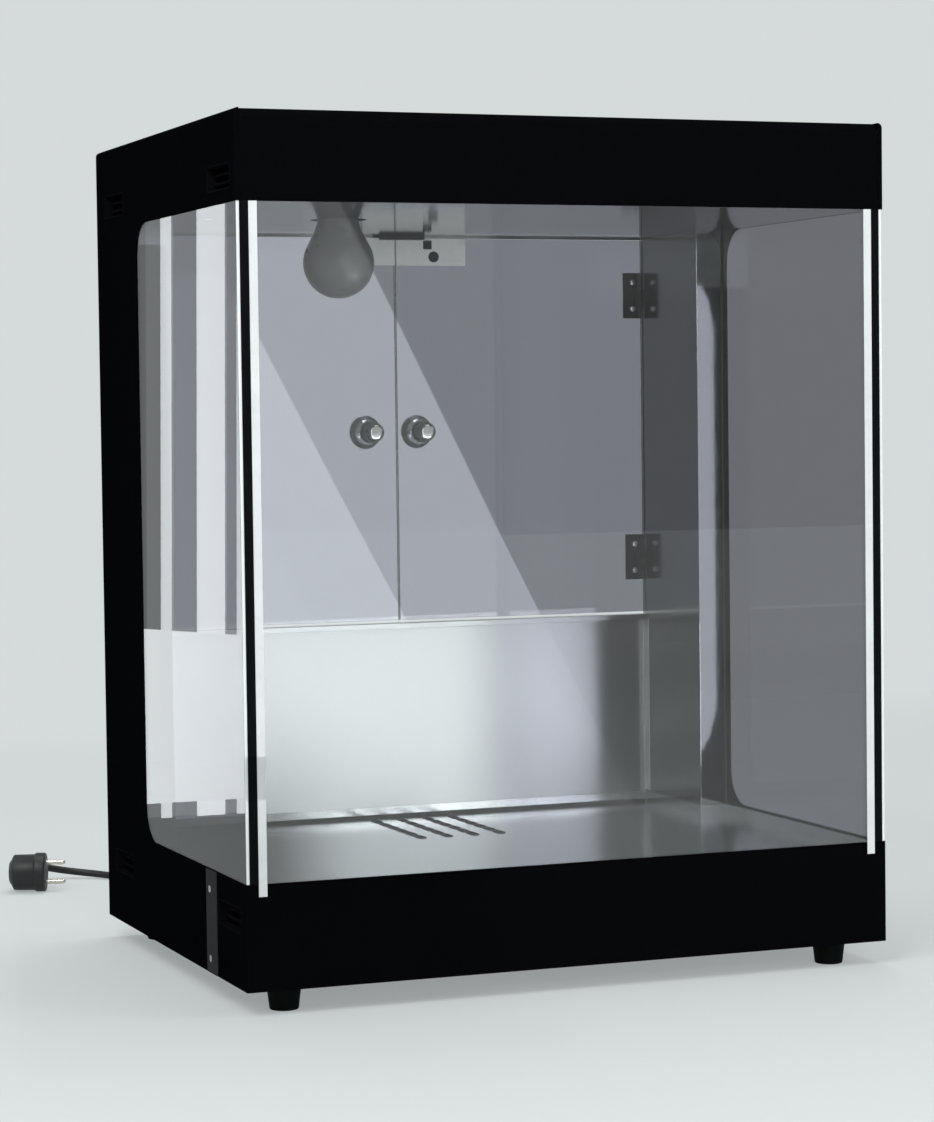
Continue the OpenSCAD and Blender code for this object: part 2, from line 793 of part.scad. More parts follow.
// A flared knob on the back of a door, with the stud that goes through the door
module knob() {
    rim = knob_d / 2 - knob_round;
    color("silver") translate([knob_x, rear_y, knob_z]) rotate([-90, 0, 0]) {
        rotate_extrude() {
            polygon([
                [0, 0], [knob_neck_r, 0], [knob_d / 2, knob_reach - knob_round],
                [rim, knob_reach - knob_round], [rim, knob_reach], [0, knob_reach]
            ]);
            translate([rim, knob_reach - knob_round]) intersection() {
                circle(knob_round);
                square(knob_round);
            }
        }
        translate([0, 0, -door_t - knob_cap_l / 2]) cylinder(r = stud_r, h = door_t + knob_cap_l / 2 + over);
    }
}

// The cap inside the door, screwed on the stud
module knob_cap() {
    r = knob_cap_d / 2;
    dome = r / 2;
    color("silver") translate([knob_x, door_y, knob_z]) rotate([90, 0, 0]) difference() {
        rotate_extrude() {
            square([r, knob_cap_l - dome]);
            square([r - dome, knob_cap_l]);
            translate([r - dome, knob_cap_l - dome]) intersection() {
                circle(dome);
                square(dome);
            }
        }
        translate([0, 0, -over]) cylinder(r = stud_r + hole_gap, h = knob_cap_l / 2 + over + hole_gap);
    }
}

module catch_magnet() {
    back = plate_y - hole_gap;
    color([0.05, 0.05, 0.05]) box([magnet_x - magnet_l / 2, back - magnet_d, hood_z - magnet_h],
        [magnet_x + magnet_l / 2, back, hood_z]);
}

module catch_plate(length) {
    color("white") box([door_mid, plate_y, plate_z], [door_mid + length, door_y, door_high_z]);
}

module catch_pads() {
    color([0.06, 0.06, 0.06]) {
        box([pad_x - pad_w / 2, plate_y - pad_t, door_high_z - pad_w - 2],
            [pad_x + pad_w / 2, plate_y, door_high_z - 2]);
        rod_y([buffer_x, plate_y - pad_t, plate_z + 8], buffer_r, pad_t);
    }
}

module lamp_bracket() {
    low = hood_z + liner_t;
    color("gray") translate([lamp_place[0], lamp_place[1], 0]) {
        box([bracket_x, -bracket_w / 2, low], [bracket_x + 22, bracket_w / 2, low + sheet_t]);
        box([bracket_x, -bracket_w / 2, low], [bracket_x + sheet_t, bracket_w / 2, holder_high_z]);
        box([-holder_r, -bracket_w / 2, holder_high_z],
            [bracket_x + sheet_t, bracket_w / 2, holder_high_z + sheet_t]);
    }
}

module lamp_holder() {
    bore = bulb_cap_r + 0.4;
    color("ivory") translate([lamp_place[0], lamp_place[1], 0]) difference() {
        union() {
            translate([0, 0, holder_low_z]) cylinder(r = holder_r, h = holder_high_z - holder_low_z);
            translate([0, 0, holder_low_z]) cylinder(r = holder_r + 3, h = 6);
        }
        translate([0, 0, holder_low_z - over])
            cylinder(r = bore, h = cap_low_z + bulb_cap_l - holder_low_z + over);
    }
}

// A round bulb, its neck up
module bulb_glass() {
    r = bulb_d / 2;
    wide_z = bulb_low_z + r;
    join = 38;
    color([0.85, 0.85, 0.83]) translate([lamp_place[0], lamp_place[1], wide_z]) {
        sphere(r, $fn = 64);
        translate([0, 0, r * sin(join)])
            cylinder(r1 = r * cos(join), r2 = bulb_neck_r, h = bulb_glass_l - r - 8 - r * sin(join));
        translate([0, 0, bulb_glass_l - r - 8]) cylinder(r1 = bulb_neck_r, r2 = bulb_cap_r, h = 8);
    }
}

module bulb_cap() {
    tip = 3;
    color("silver") translate([lamp_place[0], lamp_place[1], cap_low_z]) {
        cylinder(r = bulb_cap_r, h = bulb_cap_l - 2 * tip);
        translate([0, 0, bulb_cap_l - 2 * tip]) cylinder(r1 = bulb_cap_r, r2 = 5, h = tip);
        translate([0, 0, bulb_cap_l - tip - hole_gap]) cylinder(r = 4, h = tip + hole_gap);
    }
}

// Ends of the heating rod, left and right of the duct's middle
rod_xs = [for (i = [0:3]) (i - 1.5) * rod_pitch];

module heater_duct() {
    wall = liner_t;
    low = duct_low_z - pan_z;
    color("silver") translate([outlet_x, outlet_y, 0]) difference() {
        union() {
            difference() {
                box([-duct_w / 2, -duct_l / 2, duct_low_z], [duct_w / 2, duct_l / 2, ledge_z]);
                box([wall - duct_w / 2, wall - duct_l / 2, duct_low_z - over],
                    [duct_w / 2 - wall, duct_l / 2 - wall, ledge_z + over]);
            }
            box([wall - duct_w / 2, wall - duct_l / 2, fan_top_z],
                [duct_w / 2 - wall, duct_l / 2 - wall, fan_top_z + wall]);
            for (x = [-1, 1], y = [-1, 1])
                translate([x * (duct_w / 2 - 6) - 6, y * (duct_l - wall) / 2 - wall / 2, pan_z])
                    cube([12, wall, low + wall]);
        }
        translate([0, 0, fan_top_z - over]) cylinder(r = fan_bore_r, h = 3 * over);
        for (x = [rod_xs[0], rod_xs[3]])
            rod_y([x, -duct_l / 2 - over, rod_z], rod_d / 2 + hole_gap, wall + 2 * over);
    }
}

// One long rod bent to and fro, its ends through the front wall of the duct
module heating_rod() {
    r = rod_d / 2;
    back = rod_l / 2;
    tail = duct_l / 2 + rod_tail;
    color([0.3, 0.3, 0.32]) translate([outlet_x, outlet_y, rod_z]) {
        for (x = [rod_xs[0], rod_xs[3]]) rod_y([x, -tail, 0], r, tail + back);
        for (x = [rod_xs[1], rod_xs[2]]) rod_y([x, -back, 0], r, 2 * back);
        for (i = [0, 2]) translate([(rod_xs[i] + rod_xs[i + 1]) / 2, back, 0])
            rotate_extrude(angle = 180) translate([rod_pitch / 2, 0]) circle(r);
        translate([0, -back, 0]) rotate([0, 0, 180])
            rotate_extrude(angle = 180) translate([rod_pitch / 2, 0]) circle(r);
    }
}

module fan_frame() {
    hub_t = 3;
    color([0.1, 0.1, 0.1]) translate([outlet_x, outlet_y, duct_low_z]) difference() {
        union() {
            difference() {
                linear_extrude(fan_t) round_rect(fan_w, fan_w, 4);
                translate([0, 0, -over]) cylinder(r = fan_bore_r, h = fan_t + 2 * over);
            }
            cylinder(r = hub_r, h = hub_t);
            for (a = [45:90:315]) rotate([0, 0, a]) translate([0, -2.5, 0])
                cube([fan_bore_r + 1.5, 5, hub_t]);
        }
        translate([0, 0, -over]) cylinder(r = shaft_r + running_gap, h = hub_t + 2 * over);
    }
}

module fan_rotor() {
    low = 3.5;
    tip_r = fan_bore_r - 1;
    color([0.15, 0.15, 0.16]) translate([outlet_x, outlet_y, duct_low_z]) {
        translate([0, 0, low]) cylinder(r = hub_r, h = fan_t - low - 1);
        translate([0, 0, 0.5]) cylinder(r = shaft_r, h = low);
        for (i = [0:blade_count - 1]) rotate([0, 0, i * 360 / blade_count]) intersection() {
            translate([0, 0, low + 1.5]) cylinder(r = tip_r, h = fan_t - low - 4);
            translate([tip_r / 2 + hub_r / 2, 0, fan_t / 2 + 1]) rotate([48, 0, 0])
                cube([tip_r, 2, 2 * fan_t], center = true);
        }
    }
}

module terminal_block() {
    color("ivory") translate(block_place - [block_size[0] / 2, block_size[1] / 2, 0]) difference() {
        cube(block_size);
        for (i = [0:4]) translate([6 + i * 12, block_size[1] / 2, block_size[2] - 6])
            cylinder(r = 3, h = 6 + over);
    }
}

// A round lead through a list of corners
module lead(points) {
    for (i = [0:len(points) - 2]) {
        step = points[i + 1] - points[i];
        translate(points[i]) rotate([0, acos(step[2] / norm(step)), atan2(step[1], step[0])])
            cylinder(r = lead_r, h = norm(step));
    }
    for (i = [1:len(points) - 2]) translate(points[i]) sphere(lead_r);
}

module inner_leads() {
    y = block_place[1];
    low = pan_z + 9;
    end_x = block_place[0] - block_size[0] / 2;
    lamp_gap = holder_r + hole_gap;
    rod_end_y = outlet_y - duct_l / 2 - rod_tail;
    color([0.1, 0.1, 0.1]) {
        lead([
            [end_x, y, low], [-riser_x, y, low], [-riser_x, y, hood_lead_z], [lamp_place[0], y, hood_lead_z],
            [lamp_place[0], lamp_place[1] + lamp_gap, hood_lead_z]
        ]);
        lead([relief_at - [0, 11, 0], [relief_at[0], y + 20, relief_at[2]],
            [relief_at[0], y + 20, low], [relief_at[0], y + block_size[1] / 2, low]]);
        for (i = [0, 3])
            let (x = outlet_x + rod_xs[i], run_y = rod_end_y - 8 - 3 * i, run_x = end_x + 25 - 5 * i)
            lead([[run_x, y - block_size[1] / 2, low], [run_x, run_y, low], [x, run_y, low],
                [x, run_y, rod_z], [x, rod_end_y, rod_z]]);
        lead([[end_x + block_size[0], y, low + 2], [-80, y, low + 2], [-80, sheet_y - 6, low + 2],
            [switch_x, sheet_y - 6, low + 2], [switch_x, sheet_y - 6, switch_z - switch_cut[1] / 2]]);
    }
}

// A switch body open to the back, with bores for the pivots of its rocker
module switch_body() {
    w = switch_cut[0];
    h = switch_cut[1];
    wall = switch_body_t;
    difference() {
        union() {
            along_y(0, bezel_t) round_rect(switch_w, switch_h, 2);
            along_y(-switch_body_d, switch_body_d + hole_gap) square([w, h], center = true);
        }
        along_y(wall - switch_body_d, switch_body_d + bezel_t)
            square([w - 2 * wall, h - 2 * wall], center = true);
        translate([-w / 2, pivot_y - rear_y, 0]) rotate([0, 90, 0])
            cylinder(r = pivot_r + running_gap, h = w);
    }
}

module switch_bodies() {
    color([0.05, 0.05, 0.05]) for (i = [0, 1]) switch_place(i) switch_body();
}

// A rocker with a shallow hollow across its face, one end pressed in
module rocker() {
    half = rocker_h / 2;
    pin_l = rocker_w + 2 * 0.6 + 1.6;
    translate([0, pivot_y - rear_y, 0]) rotate([-rocker_tilt, 0, 0]) {
        along_x(-rocker_w / 2, rocker_w)
            polygon([
                [-4, -half / 2], [-2, -half], [4.5, -half], [3, 0],
                [4.5, half], [-2, half], [-4, half / 2]
            ]);
        rotate([0, 90, 0]) cylinder(r = pivot_r, h = pin_l, center = true);
    }
}

module feet() {
    color([0.03, 0.03, 0.03]) for (s = [-1, 1], y = foot_ys) translate([s * foot_x, y, 0]) difference() {
        cylinder(r1 = foot_end_d / 2, r2 = foot_d / 2, h = foot_h);
        translate([0, 0, -over]) cylinder(r = foot_head_r + seam, h = foot_sink + over);
        translate([0, 0, -over]) cylinder(r = foot_screw_r + hole_gap, h = foot_h + 2 * over);
    }
}

module foot_screws() {
    nut_t = 4;
    color("silver") for (s = [-1, 1], y = foot_ys) translate([s * foot_x, y, 0]) {
        translate([0, 0, foot_sink - foot_head_t]) cylinder(r = foot_head_r, h = foot_head_t);
        translate([0, 0, foot_sink - hole_gap]) cylinder(r = foot_screw_r, h = pan_z + nut_t - foot_sink + 1);
        translate([0, 0, pan_z]) cylinder(r = 4.6, h = nut_t, $fn = 6);
    }
}

module strain_relief() {
    color([0.05, 0.05, 0.05]) translate(relief_at) rotate([-90, 0, 0]) {
        cylinder(r = relief_r + 2, h = 2.5);
        cylinder(r1 = relief_r, r2 = relief_end_r, h = relief_l);
        translate([0, 0, -sheet_t - hole_gap]) cylinder(r = relief_r - 1, h = sheet_t + 2 * hole_gap);
        translate([0, 0, -sheet_t - 5]) cylinder(r = relief_r + 2, h = 5);
        translate([0, 0, -11]) cylinder(r = 4, h = 7);
    }
}

// A tube of straight facets through a list of rings, each a point and a direction
function ring_across(dir) = let (side = cross(dir, [0, 0, 1])) side / norm(side);
function ring(at, dir, r, sides) = let (
    d = dir / norm(dir), across = ring_across(d), up = cross(across, d)
) [for (k = [0.5:sides - 0.5]) at + r * (cos(360 * k / sides) * across + sin(360 * k / sides) * up)];
function direction(p, i) = p[min(i + 1, len(p) - 1)] - p[max(i - 1, 0)];

module tube(points, dirs, r, sides) {
    n = len(points);
    rings = [for (i = [0:n - 1]) ring(points[i], dirs[i], r, sides)];
    walls = [
        for (i = [0:n - 2], k = [0:sides - 1]) let (
            a = i * sides + k, b = i * sides + (k + 1) % sides
        ) each [[a, b, b + sides], [a, b + sides, a + sides]]
    ];
    caps = [for (k = [1:sides - 2]) each [
        [0, k + 1, k], [(n - 1) * sides, (n - 1) * sides + k, (n - 1) * sides + k + 1]
    ]];
    polyhedron([for (q = rings) each q], concat(walls, caps));
}

// Directions along a route, square to its ends as given
function route_dirs(p, first, last) =
    [for (i = [0:len(p) - 1]) i == 0 ? first : i == len(p) - 1 ? last : direction(p, i)];

plug_axis = [cos(plug_turn), sin(plug_turn), 0];
boot_axis = [-sin(plug_turn), cos(plug_turn), 0];

module cord_out() {
    color([0.05, 0.05, 0.05])
        tube(out_route, route_dirs(out_route, [0, 1, 0], [1, 0, 0]), cord_d / 2, 8);
}

module cord_lead() {
    color([0.05, 0.05, 0.05])
        tube(lead_route, route_dirs(lead_route, [-1, 0, 0], -boot_axis), cord_d / 2, 8);
}

// The coil winds inwards in a lower layer, climbs in the half turn where it turns
// back, and winds outwards in an upper layer
function coil_radius(t) = coil_r - coil_step * min(t, coil_turns - t);
function coil_climb(t) = let (u = min(1, max(0, (t - coil_turns / 2) * 2 + 0.5))) u * u * (3 - 2 * u);
function coil_point(t) = let (a = 360 * t - 90) [
    coil_at[0] + coil_radius(t) * cos(a),
    coil_at[1] + coil_radius(t) * sin(a),
    coil_low_z + coil_step * coil_climb(t)
];
coil_last = coil_turns * coil_rings;
coil_points = [for (i = [0:coil_last]) coil_point(i / coil_rings)];
coil_ends = [[1, 0, 0], [cos(360 * coil_turns), 0, 0]];

// Least air between turns, measured from ring to ring
coil_least = min([for (i = [0:coil_last], j = [i + coil_rings / 2:1:coil_last])
    norm(coil_points[i] - coil_points[j])]) - cord_d;
echo(least_air_in_the_coil = coil_least);

module cord_coil() {
    color([0.05, 0.05, 0.05])
        tube(coil_points, route_dirs(coil_points, coil_ends[0], coil_ends[1]), cord_d / 2, 6);
}

// A flat band round all the turns, where the coil points to the right
module coil_tie() {
    inner_r = coil_r - coil_step * (coil_turns - 1) / 2;
    in_x = inner_r - cord_d / 2 - tie_air;
    out_x = coil_r + cord_d / 2 + tie_air / 2;
    low = tie_t;
    high = coil_low_z + coil_step + cord_d / 2 + tie_air / 2;
    color([0.2, 0.2, 0.2]) translate([coil_at[0] + (in_x + out_x) / 2, coil_at[1], (low + high) / 2])
        along_y(-tie_w / 2, tie_w) difference() {
            round_rect(out_x - in_x + 2 * tie_t, high - low + 2 * tie_t, tie_round + tie_t);
            round_rect(out_x - in_x, high - low, tie_round);
        }
}

module plug_frame() translate(plug_at) rotate([0, 0, plug_turn]) children();

module plug_body() {
    color([0.04, 0.04, 0.04]) plug_frame() {
        rotate([0, 90, 0]) {
            cylinder(r = plug_d / 2, h = plug_face_t);
            translate([0, 0, -plug_back_l])
                cylinder(r1 = plug_back_d / 2, r2 = plug_d / 2 - 2, h = plug_back_l);
        }
        translate(boot_from) rotate([-90, 0, 0]) cylinder(r1 = boot_r, r2 = boot_end_r, h = boot_l);
    }
}

module plug_pins() {
    color("silver") plug_frame() for (s = [-1, 1])
        translate([plug_face_t, 0, s * pin_spread / 2]) rotate([0, 90, 0]) {
            cylinder(r = pin_r, h = pin_l - pin_r);
            translate([0, 0, pin_l - pin_r]) sphere(pin_r);
        }
}

base_pan();
base_front();
base_rear_panel();
joint_strips();
left() side_frame();  // side_frame_left
side_frame();  // side_frame_right
vent_grilles();
left() column();  // column_left
column();  // column_right
glass_seals();
left() side_glass();  // side_glass_left
side_glass();  // side_glass_right
corner_posts();
front_glass();
edge_strips();
floor_tray();
lower_rear_panel();
hood_shell();
ceiling_panel();
rear_top_rail();
panel_screws();
left() door();  // door_left
door();  // door_right
hinge_leaves_fixed();
left() hinge_leaves();  // hinge_leaves_left
hinge_leaves();  // hinge_leaves_right
hinge_pins();
hinge_screws_fixed();
left() hinge_screws();  // hinge_screws_left
hinge_screws();  // hinge_screws_right
left() knob();  // knob_left
knob();  // knob_right
left() knob_cap();  // knob_cap_left
knob_cap();  // knob_cap_right
catch_magnet();
left() catch_plate(plate_left_l);  // catch_plate_left
catch_plate(plate_right_l);  // catch_plate_right
catch_pads();
lamp_bracket();
lamp_holder();
bulb_glass();
bulb_cap();
heater_duct();
heating_rod();
fan_frame();
fan_rotor();
terminal_block();
inner_leads();
switch_bodies();
color("white") switch_place(0) rocker();  // lamp_rocker
color("white") switch_place(1) rocker();  // heat_rocker
feet();
foot_screws();
strain_relief();
cord_out();
cord_coil();
cord_lead();
coil_tie();
plug_body();
plug_pins();
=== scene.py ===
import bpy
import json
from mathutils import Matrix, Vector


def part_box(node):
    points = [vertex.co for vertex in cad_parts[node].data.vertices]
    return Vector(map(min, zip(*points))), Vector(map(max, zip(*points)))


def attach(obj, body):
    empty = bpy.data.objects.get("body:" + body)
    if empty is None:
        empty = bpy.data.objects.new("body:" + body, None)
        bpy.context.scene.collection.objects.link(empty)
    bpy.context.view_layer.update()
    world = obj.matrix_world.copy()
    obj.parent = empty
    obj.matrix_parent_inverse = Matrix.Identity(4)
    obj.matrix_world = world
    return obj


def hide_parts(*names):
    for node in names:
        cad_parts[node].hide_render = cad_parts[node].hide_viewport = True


bl_info = {
    "name": "Chip warmer",
    "version": (1, 0, 0),
    "blender": (4, 5, 0),
    "location": "3D View > Sidebar > Warmer",
    "description": "Dresses the chip warmer, piece by piece, and sets its stage",
    "category": "Object",
}

import json
from math import cos, pi, radians, sin

import bmesh
import bpy
from bpy.props import FloatProperty, FloatVectorProperty, IntProperty, PointerProperty
from mathutils import Matrix, Vector

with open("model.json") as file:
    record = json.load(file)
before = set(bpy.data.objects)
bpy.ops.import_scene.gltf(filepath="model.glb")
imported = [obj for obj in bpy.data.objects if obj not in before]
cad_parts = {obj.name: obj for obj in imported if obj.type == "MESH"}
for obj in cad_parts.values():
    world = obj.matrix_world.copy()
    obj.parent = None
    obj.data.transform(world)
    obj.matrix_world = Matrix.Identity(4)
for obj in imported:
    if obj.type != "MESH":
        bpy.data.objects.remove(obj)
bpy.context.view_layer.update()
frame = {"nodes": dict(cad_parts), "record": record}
MM = 0.001
BODIES = frame["record"]["behaviour"]["bodies"]
BODY_OF = {node: body for body, nodes in BODIES.items() for node in nodes}
SLOT_OF = {s["node"]: s["material_slot"] for s in frame["record"]["subparts"]}


# Settings


def colour(name, text, value):
    return FloatVectorProperty(
        name=name, description=text, default=value, subtype="COLOR", size=3, min=0, max=1
    )


def length(name, text, mm):
    return FloatProperty(
        name=name, description=text, default=mm * MM, unit="LENGTH", min=0, precision=5
    )


def power(name, text, watts):
    return FloatProperty(name=name, description=text, default=watts, unit="POWER", min=0)


class WarmerFinish(bpy.types.PropertyGroup):
    paint: colour("Paint", "Black of the hood, base and side frames", (0.0024, 0.0025, 0.0032))
    steel: colour("Stainless", "Steel of the linings, floor and ceiling", (0.66, 0.67, 0.68))
    glass: colour("Glass", "Tint of the front glass", (0.95, 0.96, 0.96))
    # The side panes' and doors' tints are far darker than clear glass: painted shade on what is
    # seen through them.
    side_glass: colour("Side glass", "Tint of the side panes", (0.21, 0.205, 0.235))
    door: colour("Doors", "Tint of the rear doors", (0.28, 0.28, 0.315))
    edge: colour("Bright edge", "Strips on the edges of the glass", (0.70, 0.72, 0.73))
    rubber: colour("Rubber", "Feet, seals and the mains lead", (0.010, 0.010, 0.011))
    bulb: colour("Bulb", "Frosted glass of the bulb", (0.14, 0.14, 0.143))


class WarmerSizes(bpy.types.PropertyGroup):
    edge_round: length("Edge rounding", "Bevel on sheet edges", 0.3)
    glass_round: length("Glass rounding", "Bevel on the edges of the panes", 0.5)
    lip_wire: length("Slot lip", "Radius of the rolled lip round a floor slot", 0.6)
    relief_rib: length("Relief rib", "Radius of the ribs on the strain relief", 0.8)
    ribs: IntProperty(name="Ribs", description="Ribs on the strain relief", default=9, min=3)
    cord: length("Lead", "Diameter of the mains lead", 7)


class WarmerStage(bpy.types.PropertyGroup):
    backdrop: colour("Backdrop", "Colour of the floor and the backdrop", (0.665, 0.70, 0.70))
    world: FloatProperty(name="World", description="Strength of the world's light", default=0.55)
    key: power("Key lamp", "Power of the large lamp", 55)
    fill: power("Fill lamp", "Power of the side and top lamps", 24)
    front: power("Front lamp", "Power of the low lamp", 18)
    glare: FloatProperty(
        name="Glare", description="Brightness of the cards that panes and metal mirror", default=2.2
    )
    lens: FloatProperty(name="Lens", description="Focal length", default=98.66, unit="CAMERA")


# Materials


class Nodes:
    """Adds nodes to a tree, with values or other nodes' outputs on their inputs."""

    def __init__(self, tree):
        self.tree = tree

    def add(self, kind, inputs=(), **values):
        node = self.tree.nodes.new(kind)
        for key, value in values.items():
            setattr(node, key, value)
        for key, value in dict(inputs).items():
            self.put(value, node.inputs[key])
        return node

    def put(self, value, socket):
        if isinstance(value, bpy.types.NodeSocket):
            self.tree.links.new(value, socket)
        else:
            socket.default_value = value

    def math(self, operation, *values):
        return self.add("ShaderNodeMath", enumerate(values), operation=operation).outputs[0]

    def spread(self, value, low, high, start=0.3, end=0.7):
        """Draws the values from start to end out to those from low to high."""
        node = self.add("ShaderNodeMapRange", {
            "Value": value, "From Min": start, "From Max": end, "To Min": low, "To Max": high,
        })
        return node.outputs["Result"]


class Recipe(Nodes):
    """A new node material with its Principled shader and short ways to finish it."""

    def __init__(self, name, **values):
        self.material = bpy.data.materials.new(name)
        self.material.use_nodes = True
        super().__init__(self.material.node_tree)
        self.shader = self.tree.nodes["Principled BSDF"]
        self.output = self.tree.nodes["Material Output"]
        for key, value in values.items():
            self.put(value, self.shader.inputs[key.replace("_", " ")])

    def noise(self, scale, detail=3.0, stretch=(1, 1, 1), rough=0.5):
        place = self.add("ShaderNodeTexCoord").outputs["Object"]
        mapping = self.add("ShaderNodeMapping", {"Vector": place, "Scale": stretch})
        texture = self.add("ShaderNodeTexNoise", {
            "Vector": mapping.outputs["Vector"], "Scale": scale, "Detail": detail,
            "Roughness": rough,
        })
        return texture.outputs["Fac"]

    def tones(self, value, dark, light):
        mix = self.add("ShaderNodeMix", {
            "Factor": value, "A": opaque(dark), "B": opaque(light),
        }, data_type="RGBA")
        self.put(mix.outputs["Result"], self.shader.inputs["Base Color"])

    def roughness(self, value, low, high):
        self.put(self.spread(value, low, high), self.shader.inputs["Roughness"])

    def bump(self, value, depth, strength=1.0):
        """Raises the surface by a depth in millimetres."""
        node = self.add("ShaderNodeBump", {
            "Height": value, "Distance": depth * MM, "Strength": strength,
        })
        self.put(node.outputs["Normal"], self.shader.inputs["Normal"])

    def choose(self, share, first, second):
        """Ends the material: the first shader where the share is 0, the second where it is 1."""
        mix = self.add("ShaderNodeMixShader", enumerate((share, first, second)))
        self.put(mix.outputs[0], self.output.inputs["Surface"])


def opaque(value):
    return (*value, 1)


def shade(base, factor):
    return tuple(c * factor for c in base)


def painted(name, base, gloss=0.42, shine=0.0):
    """Sprayed paint with a fine grain."""
    r = Recipe(name, Specular_IOR_Level=shine)
    r.tones(r.noise(300, 4), shade(base, 0.9), shade(base, 1.1))
    r.roughness(r.noise(200, 3), gloss - 0.02, gloss + 0.03)
    r.bump(r.noise(1400, 2), 0.02, 0.3)
    return r.material


def brushed(name, base, along=(1, 60, 60), smooth=0.2, rough=0.32, depth=0.006, spread=0.0):
    """Metal with fine lines; spread draws its highlights out upright."""
    r = Recipe(name, Metallic=1.0, Anisotropic=spread, Anisotropic_Rotation=0.25)
    lines = r.noise(45, 4, along, 0.6)
    r.tones(lines, shade(base, 0.95), shade(base, 1.03))
    r.roughness(lines, smooth, rough)
    r.bump(lines, depth, 0.5)
    return r.material


def clear(name, tint, index=1.5):
    """Glass that bends light for the eye and lets the lamps through."""
    tint = opaque(tint)
    r = Recipe(name, Base_Color=tint, Roughness=0.0, IOR=index, Transmission_Weight=1.0)
    through = r.add("ShaderNodeBsdfTransparent", {"Color": tint})
    path = r.add("ShaderNodeLightPath")
    r.choose(path.outputs["Is Shadow Ray"], r.shader.outputs[0], through.outputs[0])
    return r.material


def moulded(name, base, rough=0.45, grain=700, depth=0.03, shine=0.4):
    """Plastic, rubber or ceramic from a mould, with a soft grain."""
    r = Recipe(name, Specular_IOR_Level=shine)
    r.tones(r.noise(30, 4), shade(base, 0.88), shade(base, 1.12))
    r.roughness(r.noise(90, 3), rough - 0.06, rough + 0.08)
    r.bump(r.noise(grain, 2), depth, 0.5)
    return r.material


def frosted(name, base):
    """Etched glass, seen from outside as a satin skin."""
    r = Recipe(name, IOR=1.45, Specular_IOR_Level=0.5)
    r.tones(r.noise(35, 3), shade(base, 0.93), shade(base, 1.05))
    r.roughness(r.noise(120, 2), 0.26, 0.36)
    r.bump(r.noise(1800, 2), 0.01, 0.3)
    return r.material


